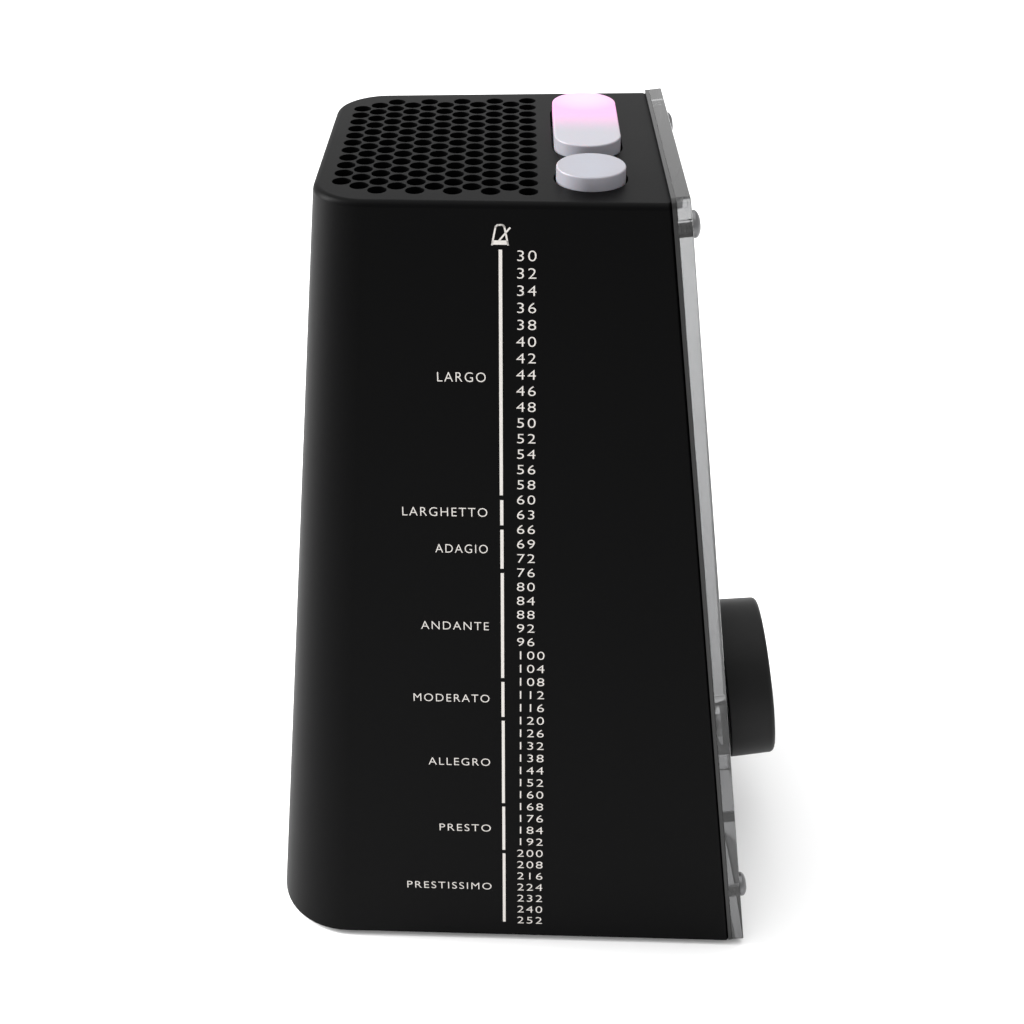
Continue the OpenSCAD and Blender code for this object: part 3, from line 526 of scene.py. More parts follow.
class Finish:
    """A material and the nodes behind its main shader."""

    def __init__(self, name, colour, roughness, **constants):
        self.material = bpy.data.materials.new(name)
        self.material.use_nodes = True
        self.tree = self.material.node_tree
        self.shader = self.tree.nodes["Principled BSDF"]
        self.set("Base Color", colour)
        self.set("Roughness", roughness)
        for socket, value in constants.items():
            self.set(socket.replace("_", " "), value)

    def feed(self, socket, value):
        if isinstance(value, Signal):
            self.tree.links.new(value.socket, socket)
        elif socket.type == "RGBA" and len(value) == 3:
            socket.default_value = (*value, 1)
        else:
            socket.default_value = value

    def set(self, socket, value):
        self.feed(self.shader.inputs[socket], value)

    def node(self, kind, settings, sockets, output=0):
        """Adds a node: its settings first, then its sockets' values or links."""
        made = self.tree.nodes.new(kind)
        for name, value in settings.items():
            setattr(made, name, value)
        for name, value in sockets.items():
            self.feed(made.inputs[name], value)
        return Signal(self, made.outputs[output])

    def place(self, matrix=None):
        """Object coordinates, or the same in a place's own axes."""
        place = self.node("ShaderNodeTexCoord", {}, {}, "Object")
        if matrix is None:
            return place
        inverse = matrix.inverted()
        turn, move = inverse.to_euler(), inverse.to_translation()
        return self.node("ShaderNodeMapping", {}, {"Vector": place, "Rotation": turn, "Location": move})

    def axis(self, name, place=None):
        split = {"Vector": place or self.place()}
        return self.node("ShaderNodeSeparateXYZ", {}, split, name)

    def noise(self, size, detail=2.0):
        """Soft noise from 0 to 1 whose features measure about the given size."""
        sockets = {"Vector": self.place(), "Scale": 1 / size, "Detail": detail}
        return self.node("ShaderNodeTexNoise", {}, sockets, "Fac")

    def blend(self, factor, first, second):
        return self.node("ShaderNodeMix", {"data_type": "RGBA"}, {0: factor, 6: first, 7: second}, 2)

    def bump(self, height, depth, strength=1.0):
        sockets = {"Height": height, "Distance": depth, "Strength": strength}
        self.set("Normal", self.node("ShaderNodeBump", {}, sockets, "Normal"))

    def vary(self, colour, size, spread):
        """Lets a colour drift lighter and darker by a share."""
        darker = [c * (1 - spread) for c in colour]
        lighter = [min(1, c * (1 + spread)) for c in colour]
        return self.blend(self.noise(size), darker, lighter)


MADE = {}


def shared(maker):
    """Makes a material once and hands the same one out afterwards."""
    def once(*details):
        key = (maker.__name__, *details)
        if key not in MADE:
            MADE[key] = maker(*details)
        return MADE[key]
    return once


@shared
def case_moulding():
    """Black moulded case plastic: a fine spark-eroded grain under a satin sheen."""
    colour = tuple(bpy.context.scene.case_sizes.colour)
    f = Finish("case_moulding", colour, 0.42, Specular_IOR_Level=0.04)
    grain = f.noise(0.00022, 3)
    f.set("Base Color", f.vary(colour, 0.012, 0.12))
    f.set("Roughness", 0.38 + 0.06 * f.noise(0.02, 3) + 0.05 * grain)
    f.bump(grain, 0.000012, 0.5)
    return f.material


@shared
def print_ink():
    """Warm grey screen print, slightly uneven in its cover."""
    colour = tuple(bpy.context.scene.scale_sizes.colour)
    f = Finish("print_ink", colour, 0.6, Specular_IOR_Level=0.3)
    cover = f.noise(0.00025, 3)
    f.set("Base Color", f.blend(cover, [c * 0.92 for c in colour], [min(1, c * 1.06) for c in colour]))
    f.set("Roughness", 0.55 + 0.15 * cover)
    return f.material


@shared
def black_print():
    """Gloss black print on the sheet behind the clear plate."""
    f = Finish("black_print", (0.003, 0.003, 0.003), 0.3, Specular_IOR_Level=0.4)
    f.set("Roughness", 0.26 + 0.1 * f.noise(0.004, 3))
    return f.material


@shared
def clear_acrylic():
    """Cast acrylic with a smoky tint and painted shade that darkens it towards its foot, lightly handled."""
    f = Finish("clear_acrylic", (0.2, 0.2, 0.2), 0.02, IOR=1.49, Transmission_Weight=1.0)
    low, high = span("front_plate", front_place())
    rise = ((f.axis("Y", f.place(front_place())) - low.y) / (high.y - low.y)).clamped()
    # painted shade: the plate's colour darkens from its top towards its foot
    f.set("Base Color", f.blend(rise ** 0.7, (0.06, 0.06, 0.062), (0.24, 0.242, 0.245)))
    f.set("Roughness", 0.012 + 0.03 * f.noise(0.009, 4) ** 3)
    return f.material


@shared
def metal(name, colour, roughness, grain):
    """Plated or turned metal with a fine grain."""
    f = Finish(name, colour, roughness, Metallic=1.0)
    texture = f.noise(grain, 3)
    f.set("Base Color", f.vary(colour, grain * 6, 0.08))
    f.set("Roughness", roughness - 0.06 + 0.14 * texture)
    f.bump(texture, grain / 40, 0.5)
    return f.material


@shared
def moulding(name, colour, roughness, grain):
    """A plain moulded plastic or rubber with a grain of its own."""
    f = Finish(name, colour, roughness, Specular_IOR_Level=0.35)
    texture = f.noise(grain, 3)
    f.set("Base Color", f.vary(colour, grain * 30, 0.14))
    f.set("Roughness", roughness - 0.05 + 0.1 * texture)
    f.bump(texture, grain / 20, 0.4)
    return f.material


@shared
def dial_finish():
    """Matt black dial plastic with the faint rings that turning leaves on its face."""
    colour = tuple(bpy.context.scene.front_sizes.dial_colour)
    f = Finish("dial_finish", colour, 0.5, Specular_IOR_Level=0.16)
    place = f.place(dial_place())
    x, y = f.axis("X", place), f.axis("Y", place)
    ring_rate = 26000  # radians of the sine per metre
    rings = f.node("ShaderNodeMath", {"operation": "SINE"}, {0: (x * x + y * y) ** 0.5 * ring_rate})
    f.set("Base Color", f.vary(colour, 0.006, 0.15))
    f.set("Roughness", 0.46 + 0.06 * f.noise(0.0015, 3))
    f.bump(0.4 * rings + f.noise(0.0002, 3), 0.000005, 0.5)
    return f.material


@shared
def key_plastic(lit):
    """Milky white key plastic. The long key is lit from below at its right-hand end."""
    sizes = bpy.context.scene.key_sizes
    colour = tuple(sizes.colour)
    f = Finish("lit_key_plastic" if lit else "key_plastic", colour, 0.4,
               Subsurface_Weight=0.15, Subsurface_Scale=0.001)
    f.set("Roughness", 0.36 + 0.08 * f.noise(0.0006, 3))
    f.bump(f.noise(0.0003), 0.000006, 0.4)
    if not lit:
        f.set("Base Color", f.vary(colour, 0.004, 0.03))
        return f.material
    low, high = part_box("start_key")
    middle = (low.x + high.x) / 2
    reach = (high.x - low.x) / 2
    along = (f.axis("X") - middle) / reach
    glow_start, glow_run, glow_curve, cap_rise = 0.5, 0.75, 1.6, 0.0006
    cap = ((f.axis("Z") - SHELL_HIGH.z) / cap_rise).clamped()
    glow = ((along + glow_start) / glow_run).clamped() ** glow_curve * cap
    across = ((f.axis("Y") - (low.y + high.y) / 2) / (high.y - low.y) * 2) ** 2
    lamp = 0.75
    core = (1 - ((along - lamp) * 2.0) ** 2 - across).clamped()
    pink = f.blend(core, tuple(sizes.glow), (1.0, 0.66, 0.95))
    f.set("Base Color", f.blend(glow, colour, (0.25, 0.1, 0.2)))
    f.set("Emission Color", f.blend(glow, (0, 0, 0), pink))
    f.shader.inputs["Emission Strength"].default_value = sizes.glow_strength
    return f.material


@shared
def solder_mask():
    """Green board: tracks under the mask, and tinned pads."""
    f = Finish("solder_mask", (0.01, 0.09, 0.03), 0.35, Specular_IOR_Level=0.5)
    tracks = f.node("ShaderNodeTexBrick", {"offset": 0.35}, {
        "Vector": f.place(front_place()), "Scale": 260.0, "Mortar Size": 0.05, "Color1": (0, 0, 0),
        "Color2": (0, 0, 0), "Mortar": (1, 1, 1)}, "Fac")
    dots = f.node("ShaderNodeTexVoronoi", {}, {"Vector": f.place(), "Scale": 420.0}, "Distance")
    pad_size = 0.16
    pads = dots < pad_size
    green = f.blend(tracks, (0.008, 0.075, 0.026), (0.02, 0.15, 0.055))
    f.set("Base Color", f.blend(pads, green, (0.62, 0.6, 0.56)))
    f.set("Metallic", pads)
    f.set("Roughness", 0.34 - 0.08 * pads + 0.08 * f.noise(0.002))
    f.bump(tracks + pads, 0.00003, 0.5)
    return f.material


@shared
def display_glass():
    """Dark display glass whose faint tint drifts a little lighter and darker."""
    f = Finish("display_glass", (0.012, 0.015, 0.017), 0.08, Specular_IOR_Level=0.5, Coat_Weight=0.3)
    f.set("Base Color", f.blend(f.noise(0.02), (0.01, 0.013, 0.015), (0.02, 0.024, 0.026)))
    f.set("Roughness", 0.06 + 0.05 * f.noise(0.005, 4))
    return f.material


@shared
def light_lens(name, colour, strength):
    """A lit, milky plastic whose glow isn't quite even."""
    f = Finish(name, colour, 0.35, Emission_Color=colour, Emission_Strength=strength)
    f.set("Base Color", f.vary(colour, 0.003, 0.08))
    f.set("Emission Color", f.vary(colour, 0.004, 0.2))
    return f.material


@shared
def cone_paper():
    """Pressed paper with radial fibres."""
    colour = (0.02, 0.019, 0.018)
    f = Finish("cone_paper", colour, 0.85, Specular_IOR_Level=0.2)
    fibres = f.noise(0.0005, 6)
    f.set("Base Color", f.blend(fibres, [c * 0.6 for c in colour], [c * 1.7 for c in colour]))
    f.bump(fibres, 0.00005, 0.8)
    return f.material


@shared
def cell_jacket():
    """A cell's plain printed jacket: a dark body with a copper band towards the button end."""
    f = Finish("cell_jacket", (0.02, 0.022, 0.03), 0.3, Metallic=0.6, Coat_Weight=0.4)
    low, high = span("battery_cells", rear_place())
    band_start = low.y + 0.8 * (high.y - low.y)
    upper = f.axis("Y", f.place(rear_place())) > band_start
    f.set("Base Color", f.blend(upper, f.vary((0.02, 0.022, 0.03), 0.01, 0.2), (0.45, 0.2, 0.08)))
    f.set("Roughness", 0.28 + 0.1 * f.noise(0.003))
    return f.material


@shared
def ribbon_cable():
    """Flat grey ribbon with a groove between its leads, and painted shade in the grooves."""
    f = Finish("ribbon_cable", (0.42, 0.42, 0.4), 0.5)
    lead_spacing = 0.00127
    ridges = f.node("ShaderNodeMath", {"operation": "SINE"}, {0: f.axis("X") * math.tau / lead_spacing})
    # painted shade: the colour is darker in the grooves between the leads and lighter on their tops
    f.set("Base Color", f.blend(ridges * 0.5 + 0.5, (0.3, 0.3, 0.29), (0.46, 0.46, 0.44)))
    f.bump(ridges, 0.0001, 0.6)
    return f.material


@shared
def lead_jacket():
    """Thin insulated leads, one red and one black."""
    f = Finish("lead_jacket", (0.02, 0.02, 0.02), 0.45)
    f.set("Base Color", f.blend(f.axis("X") > 0, (0.35, 0.02, 0.015), (0.012, 0.012, 0.012)))
    f.set("Roughness", 0.4 + 0.1 * f.noise(0.001))
    return f.material


@shared
def floor_finish():
    """A pale, matt floor."""
    colour = tuple(bpy.context.scene.stage_sizes.floor_colour)
    f = Finish("floor_finish", colour, 0.9, Specular_IOR_Level=0.1)
    f.set("Base Color", f.vary(colour, 0.4, 0.01))
    return f.material


def dress(node, material):
    """Gives a CAD node its finish."""
    slots = NODES[node].data.materials
    slots.clear()
    slots.append(material)


# ---------------------------------------------------------------- places of the moving pieces


def dial_place():
    """The dial's axis: Z out of the front, from the dial's rear face."""
    joint = JOINTS["tempo_turn"]
    return basis(joint["pos_m"], (1, 0, 0), joint["axis"])


def jack_place():
    mount = MOUNTS["phones"]
    return basis(mount["pos_m"], (0, 0, -1), mount["axis"])


def wheel_place():
    joint = JOINTS["volume_turn"]
    return basis(joint["pos_m"], (0, 1, 0), joint["axis"])


# ---------------------------------------------------------------- pieces


def case_ring(z, inset, drawn=0.0):
    """The case's outline at a height, drawn in all round by an inset and further at its sides and rear."""
    sizes = bpy.context.scene.case_sizes
    side = inset + drawn
    front, rear = front_at(z) + inset, rear_at(z) - side
    corner = sizes.rear_corner + (sizes.rear_corner_top - sizes.rear_corner) * share(z) - side
    wide, narrow = half_at(front_at(z), z) - side, half_at(rear_at(z), z) - side
    corners = [(-wide, front, sizes.front_corner), (wide, front, sizes.front_corner),
               (narrow, rear, corner), (-narrow, rear, corner)]
    return [(point.x, point.y, z) for point in rounded(corners, steps=16)]


def case_block(low, high, inset=0.0, edge=0.0):
    """The tapered body between two heights, its top edge rounded at the sides and the rear."""
    levels = 5
    rings = [case_ring(low + (high - edge - low) * k / levels, inset) for k in range(levels + 1)]
    arc = 5
    for k in range(1, arc + 1 if edge else 0):
        angle = math.pi / 2 * k / arc
        rings.append(case_ring(high - edge * (1 - math.sin(angle)), inset, edge * (1 - math.cos(angle))))
    return loft(rings)


def grille_places(sizes):
    """The middle of every grille hole, in the top's face."""
    top = SHELL_HIGH.z
    first = front_at(top) + sizes.first_column
    places = []
    for column in range(sizes.columns):
        count = sizes.rows - column % 2 - (2 if column == sizes.columns - 1 else 0)
        pitch = sizes.hole_across * (1 - sizes.narrower * column)
        for row in range(count):
            middle = ((row - (count - 1) / 2) * pitch, first + column * sizes.hole_along, top)
            places.append(Matrix.Translation(middle))
    return places


def key_cap_box(node):
    """The box of a key's top face."""
    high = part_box(node)[1].z
    return span(node, keep=lambda p: p.z > high - TINY)


def pill(low, high, grow=0.0, steps=16):
    """An outline with round ends between two corners, grown all round."""
    width = high.y - low.y + 2 * grow
    radius = width / 2 - TINY / 10
    x0, x1 = low.x - grow, high.x + grow
    y0, y1 = low.y - grow, high.y + grow
    return rounded([(x0, y0, radius), (x1, y0, radius), (x1, y1, radius), (x0, y1, radius)], steps=steps)


class CaseOperator(bpy.types.Operator):
    """Moulds the case: a tapered shell with its grille, key holes, window and side openings"""

    bl_idname = "metronome.case"
    bl_label = "Case"

    def execute(self, context):
        sizes = context.scene.case_sizes
        keys = context.scene.key_sizes
        front, rear = front_place(), rear_place()
        low, high = SHELL_LOW.z, SHELL_HIGH.z
        deep = 0.004
        shell = combine(case_block(low, high, edge=sizes.edge),
                        case_block(low - PAST, high - sizes.top_wall, inset=sizes.wall))

        cutters = bmesh.new()
        radius, flare = sizes.hole / 2, sizes.hole_flare
        turned(cutters, [(0, -deep), (radius, -deep), (radius, -flare), (radius + flare, 0),
                         (radius + flare, flare), (0, flare)], segments=24, copies=grille_places(sizes))
        shell = combine(shell, cutters)

        cutters = bmesh.new()
        for node in ("start_key", "tap_key"):
            slab(cutters, pill(*key_cap_box(node), grow=keys.gap), high - deep, high + PAST)
        window = span("display_light", front)
        block(cutters, (window[0].x, window[0].y, -deep), (window[1].x, window[1].y, PAST), front)
        for box in four("plate_inserts", front):
            rod(cutters, radius_of(box), -deep, PAST, over_middle(box, front))
        bush_hole = 0.0037
        rod(cutters, bush_hole, -deep, PAST, over_middle(span("encoder_shaft", front), front))

        door_low, door_high = span("battery_door", rear)
        panel = span("battery_door", rear, lambda p: p.y > door_high.y - TINY)
        gap = 0.00025
        block(cutters, (panel[0].x - gap, door_low.y - gap, -deep),
              (panel[1].x + gap, door_high.y + 2 * gap, PAST), rear)

        jack_hole, jack_reach = 0.0029, 0.003
        rod(cutters, jack_hole, -jack_reach, jack_reach, jack_place())
        wheel = wheel_place()
        slot_share, slot_reach, slot_low, slot_high = 0.72, 0.012, -0.0004, 0.0026
        slot_half = span("volume_wheel", wheel)[1].x * slot_share
        block(cutters, (-slot_half, -slot_reach, slot_low), (slot_half, slot_reach, slot_high), wheel)
        shell = combine(shell, cutters)

        finish_piece("case_shell", shell, "case", case_moulding(), ["housing_shell"],
                     crease=28, weigh=True)
        return {"FINISHED"}


# Each softbox: its name, place, aim, width, height and power in watts
SOFTBOXES = (("overhead", (0.1, 0.0, 1.1), (0, 0, 0.05), 1.2, 1.2, 7),
             ("behind", (0.8, 0.0, 0.6), (0, 0, 0.12), 1.0, 0.6, 1.2),
             ("rear_strip", (0.06, 0.55, 0.34), (0, 0, 0.09), 0.15, 0.5, 8))


class StageOperator(bpy.types.Operator):
    """Sets the floor, the lights and the camera"""

    bl_idname = "metronome.stage"
    bl_label = "Stage"

    def execute(self, context):
        scene = context.scene
        sizes = scene.stage_sizes
        bm = bmesh.new()
        bmesh.ops.create_grid(bm, x_segments=8, y_segments=8, size=sizes.floor / 2)
        mesh = bpy.data.meshes.new("floor")
        bm.to_mesh(mesh)
        bm.free()
        floor = bpy.data.objects.new("floor", mesh)
        mesh.materials.append(floor_finish())
        scene.collection.objects.link(floor)

        data = bpy.data.cameras.new("camera")
        data.lens, data.sensor_width = sizes.lens, 36
        data.shift_x, data.shift_y = sizes.shift_x, sizes.shift_y
        data.clip_start, data.clip_end = 0.01, 20
        camera = bpy.data.objects.new("camera", data)
        down = sizes.camera_down
        back = Vector((-math.cos(down), 0, math.sin(down)))
        camera.matrix_world = basis(sizes.camera_at, (0, -1, 0), back)
        scene.collection.objects.link(camera)
        scene.camera = camera

        world = bpy.data.worlds.new("studio")
        world.use_nodes = True
        world.node_tree.nodes["Background"].inputs["Color"].default_value = (1, 1, 1, 1)
        world.node_tree.nodes["Background"].inputs["Strength"].default_value = sizes.daylight
        scene.world = world
        scene.view_settings.view_transform = "Standard"

        for details in SOFTBOXES:
            self.softbox(*details)
        return {"FINISHED"}

    def softbox(self, name, at, aim, width, height, power):
        light = bpy.data.lights.new(name, "AREA")
        light.shape, light.size, light.size_y, light.energy = "RECTANGLE", width, height, power
        lamp = bpy.data.objects.new(name, light)
        lamp.location = at
        lamp.rotation_euler = (Vector(aim) - Vector(at)).to_track_quat("-Z", "Y").to_euler()
        bpy.context.scene.collection.objects.link(lamp)


# The scale's numbers. Each word has its steps below the first number, and its width.
NUMBERS = [*range(30, 60, 2), *range(60, 72, 3), *range(72, 120, 4), *range(120, 144, 6),
           *range(144, 241, 8), 252]
WORDS = {"LARGO": (7.2, 0.0061), "LARGHETTO": (15.9, 0.0112), "ADAGIO": (18.4, 0.0070),
         "ANDANTE": (23.9, 0.0093), "MODERATO": (29.35, 0.0107), "ALLEGRO": (34.4, 0.0089),
         "PRESTO": (39.9, 0.0076), "PRESTISSIMO": (45.0, 0.0128)}
# Where the line starts, ends and breaks, in the same steps.
LINE_START, LINE_END = -0.34, 48.2
BREAKS = (14.9, 16.9, 19.9, 27.9, 30.9, 37.9, 41.9)


class ScaleOperator(bpy.types.Operator):
    """Prints the tempo scale on the left-hand side: its line, numbers, words and sign"""

    bl_idname = "metronome.scale"
    bl_label = "Tempo scale"

    def execute(self, context):
        sizes = context.scene.scale_sizes
        figures, words = [], []
        for i, number in enumerate(NUMBERS):
            z = sizes.first_z - i * sizes.step
            place = left_side(sizes.line_y - sizes.figure_gap, z)
            figures.append(
                self.lettering(str(number), sizes.figure_height, place, "LEFT", sizes.figure_spacing))
        for word, (tick, width) in WORDS.items():
            z = sizes.first_z - tick * sizes.step
            place = left_side(sizes.line_y + sizes.word_gap, z)
            words.append(
                self.lettering(word, sizes.word_height, place, "RIGHT", sizes.word_spacing, width))
        self.joined("scale_numbers", figures)
        self.joined("scale_words", words)
        self.line(sizes)
        self.sign(sizes)
        return {"FINISHED"}

    def lettering(self, text, height, place, align, spacing, width=None):
        """A word or number as a mesh, centred on its height and drawn out to a width where one is given."""
        curve = bpy.data.curves.new("letters", "FONT")
        curve.body = text
        curve.align_x = align
        curve.space_character = spacing
        thick = 0.01
        curve.offset = -0.01
        curve.extrude = thick
        curve.resolution_u = 4
        made = bpy.data.objects.new("letters", curve)
        bpy.context.scene.collection.objects.link(made)
        mesh = bpy.data.meshes.new_from_object(made.evaluated_get(bpy.context.evaluated_depsgraph_get()))
        bpy.data.objects.remove(made)
        cap, broad = 0.7, 1.2
        size = height / cap
        ink = bpy.context.scene.scale_sizes.ink
        across = [vertex.co.x for vertex in mesh.vertices]
        stretch = width / (max(across) - min(across)) if width else size * broad
        grow = Matrix.Diagonal((stretch, size, ink / thick, 1))
        mesh.transform(place @ grow @ Matrix.Translation((0, -cap / 2, 0)))
        return mesh

    def joined(self, name, meshes):
        """Joins printed words or numbers into one piece."""
        bm = bmesh.new()
        for mesh in meshes:
            bm.from_mesh(mesh)
            bpy.data.meshes.remove(mesh)
        bmesh.ops.remove_doubles(bm, verts=bm.verts, dist=TINY / 50)
        bmesh.ops.recalc_face_normals(bm, faces=bm.faces)
        finish_piece(name, bm, "case", print_ink())

    def line(self, sizes):
        """The scale's line, broken where one tempo's range ends and the next begins."""
        bm = bmesh.new()
        half_gap = 0.15
        starts = [LINE_START, *(b + half_gap for b in BREAKS)]
        ends = [*(b - half_gap for b in BREAKS), LINE_END]
        for start, end in zip(starts, ends):
            middle = (start + end) / 2
            place = left_side(sizes.line_y, sizes.first_z - middle * sizes.step)
            half = (end - start) / 2 * sizes.step
            block(bm, (-sizes.line_width / 2, -half, -sizes.ink), (sizes.line_width / 2, half, sizes.ink),
                  place)
        finish_piece("scale_line", bm, "case", print_ink())

    def sign(self, sizes):
        """A small sign above the line: a case on a bar, with a rod that swings out of it."""
        bm = bmesh.new()
        above = 0.6  # steps above the first number
        place = left_side(sizes.line_y, sizes.first_z + above * sizes.step)
        foot, head, height, corner, pen = 0.00096, 0.00048, 0.00248, 0.0004, 0.00021
        bar_low, bar_high, bar = 0.00107, 0.00095, 0.00054
        rod_foot, rod_end = Vector((-0.0001, bar)), Vector((0.00118, 0.00212))
        outline = rounded([(-foot, 0, 0), (-head, height, corner), (head, height, corner), (foot, 0, 0)],
                          closed=False, steps=4)
        for start, end in zip(outline, outline[1:]):
            self.stroke(bm, place, start, end, pen, sizes.ink)
        slab(bm, [(-bar_low, 0), (bar_low, 0), (bar_high, bar), (-bar_high, bar)], -sizes.ink, sizes.ink,
             place)
        self.stroke(bm, place, rod_foot, rod_end, pen, sizes.ink)
        finish_piece("scale_sign", bm, "case", print_ink())

    def stroke(self, bm, place, start, end, pen, ink):
        """A straight stroke between two points, a little longer than they are apart."""
        along = end - start
        turn = Matrix.Rotation(math.atan2(along.y, along.x), 4, "Z")
        middle = (start + end) / 2
        half = along.length / 2 + pen / 3
        block(bm, (-half, -pen / 2, -ink), (half, pen / 2, ink),
              place @ Matrix.Translation((middle.x, middle.y, 0)) @ turn)


class PlateOperator(bpy.types.Operator):
    """Cuts the clear plate and turns its four screws"""

    bl_idname = "metronome.plate"
    bl_label = "Clear plate"

    def execute(self, context):
        sizes = context.scene.front_sizes
        front = front_place()
        low, high = span("front_plate", front)
        top = span("front_plate", front, lambda p: p.y > high.y - sizes.plate_top_corner - TINY)
        foot_half = high.x
        slope = (foot_half - top[1].x) / (high.y - sizes.plate_top_corner - low.y)
        head_half = foot_half - slope * (high.y - low.y)
        corners = [(-foot_half, low.y, sizes.plate_low_corner), (foot_half, low.y, sizes.plate_low_corner),
                   (head_half, high.y, sizes.plate_top_corner), (-head_half, high.y, sizes.plate_top_corner)]
        plate = bmesh.new()
        slab(plate, rounded(corners, steps=12), low.z, high.z, front, edge=sizes.plate_edge)
        cutters = bmesh.new()
        bush_hole, screw_hole = 0.0052, 0.00115
        rod(cutters, bush_hole, low.z - PAST, high.z + PAST,
            over_middle(span("encoder_shaft", front), front), segments=64)
        screws = four("plate_screws", front)
        for box in screws:
            rod(cutters, screw_hole, low.z - PAST, high.z + PAST, over_middle(box, front), segments=32)
        finish_piece("clear_plate", combine(plate, cutters), "case", clear_acrylic(), ["front_plate"],
                     weigh=True)
        dress("front_panel", black_print())
        self.figures(front, sizes)
        self.marks(front, sizes)
        self.screws(screws, high.z, front, sizes)
        return {"FINISHED"}

    def figures(self, front, sizes):
        """Lit figures on the display, each of up to seven bars."""
        low, high = span("display_light", front)
        face = span("display_glass", front)[1].z
        tall = (high.y - low.y) * 0.4
        wide, pen, spacing = tall * 0.52, tall * 0.11, 1.5
        trim = pen * 0.7  # what each bar leaves free at its ends
        half = (tall - pen) / 2
        bars = {"a": (0, half, True), "b": (1, half / 2, False), "c": (1, -half / 2, False),
                "d": (0, -half, True), "e": (-1, -half / 2, False), "f": (-1, half / 2, False),
                "g": (0, 0, True)}
        bm = bmesh.new()
        for place, lit in enumerate(("bc", "abdeg", "abcdef")):
            middle = (low + high) / 2 + Vector(((place - 1) * wide * spacing, 0, 0))
            for x, y, flat in (bars[name] for name in lit):
                length = (wide if flat else half) - trim
                size = (length, pen) if flat else (pen, length)
                at = Vector((middle.x + x * wide / 2, middle.y + y))
                block(bm, (at.x - size[0] / 2, at.y - size[1] / 2, face - sizes.print_t),
                      (at.x + size[0] / 2, at.y + size[1] / 2, face + sizes.print_t), front)
        finish_piece("display_figures", bm, "case", light_lens("lit_figures", (0.8, 0.92, 1.0), 3.0))

    def marks(self, front, sizes):
        """A ring of plain marks round the dial, on the black sheet."""
        face = span("front_panel", front)[1].z
        middle = over_middle(span("encoder_shaft", front), front, face)
        count, sweep = 11, 300
        half_width, gap, long, short = 0.0002, 0.0016, 0.0018, 0.0012
        inner = radius_of(span("tempo_dial", front)) + gap
        bm = bmesh.new()
        for k in range(count):
            turn = math.radians(sweep / 2 - sweep * k / (count - 1))
            outer = inner + (long if k % 5 == 0 else short)
            block(bm, (-half_width, inner, -sizes.print_t), (half_width, outer, sizes.print_t),
                  middle @ Matrix.Rotation(turn, 4, "Z"))
        finish_piece("dial_marks", bm, "case", print_ink())

    def screws(self, boxes, seat, front, sizes):
        """Button heads with a hexagon socket, and threaded shanks."""
        oxide = metal("black_oxide", (0.14, 0.14, 0.143), 0.36, 0.0003)
        core, root, tip_share, chamfer = 0.001, 0.86, 0.8, 0.0001
        rim = sizes.screw_head / 3
        heads = bmesh.new()
        for box in boxes:
            radius, tip = radius_of(box), box[0].z - seat
            dome = [(radius * math.cos(a), rim + (sizes.screw_head - rim) * math.sin(a))
                    for a in (math.pi / 2 * k / 10 for k in range(11))]
            thread = []
            for k in range(int(-tip / sizes.pitch)):
                z = -sizes.pitch * (k + 1)
                thread += [(core, z + sizes.pitch / 2), (core * root, z + sizes.pitch * 0.1)]
            profile = [(0, tip), (core * tip_share, tip), *reversed(thread), (core, 0),
                       (radius - chamfer, 0), (radius, chamfer), *dome[:-1], (0, sizes.screw_head)]
            turned(heads, profile, over_middle(box, front, seat), segments=40)
        socket_depth = 0.0007
        socket = sizes.socket / 2 / math.cos(math.pi / 6)
        cutters = bmesh.new()
        for box in boxes:
            place = over_middle(box, front, seat + sizes.screw_head - socket_depth)
            rod(cutters, socket, 0, 2 * PAST, place, segments=6)
        finish_piece("plate_screw_set", combine(heads, cutters), "case", oxide, ["plate_screws"],
                     crease=35)


class DialOperator(bpy.types.Operator):
    """Turns the tempo dial, with its mark"""

    bl_idname = "metronome.dial"
    bl_label = "Tempo dial"

    def execute(self, context):
        sizes = context.scene.front_sizes
        place = dial_place()
        high = span("tempo_dial", place)[1]
        radius, thick = high.x, high.z
        face = radius - sizes.dial_taper
        skirt, floor, boss, bore, lip = 0.0018, thick - 0.002, 0.0046, 0.00302, 0.0001
        hollow = face - 0.0022
        foot_round, rim_width, rim_round, hollow_round = 0.00025, 0.0008, 0.0004, 0.0003
        lead_in = face - 0.002  # only gives the foot's round its direction, and is dropped below
        outer = rounded([(lead_in, 0, 0), (radius, 0, foot_round), (face, thick, sizes.dial_edge),
                         (hollow + rim_width, thick, rim_round),
                         (hollow, thick - sizes.dial_hollow, hollow_round),
                         (0, thick - sizes.dial_hollow, 0)], closed=False)
        inner = [(0, floor), (bore, floor), (bore, lip), (boss, lip), (boss, floor),
                 (face - skirt, floor), (face - skirt, 0)]
        bm = bmesh.new()
        turned(bm, [*outer[1:], *map(Vector, inner)], place, segments=160)
        finish_piece("dial_cap", bm, "dial", dial_finish(), ["tempo_dial"], crease=40)

        mark_end = Vector((0.0019, 0.00035))
        mark_out, sunk, proud = face * 0.62, 0.0001, 0.00006
        mark = bmesh.new()
        at = place @ Matrix.Translation((0, mark_out, thick - sizes.dial_hollow))
        slab(mark, pill(-mark_end, mark_end, steps=6), -sunk, proud,
             at @ Matrix.Rotation(math.pi / 2, 4, "Z"))
        finish_piece("dial_mark", mark, "dial", print_ink())
        dress("encoder_shaft", metal("nickel", (0.6, 0.6, 0.6), 0.25, 0.0002))
        return {"FINISHED"}


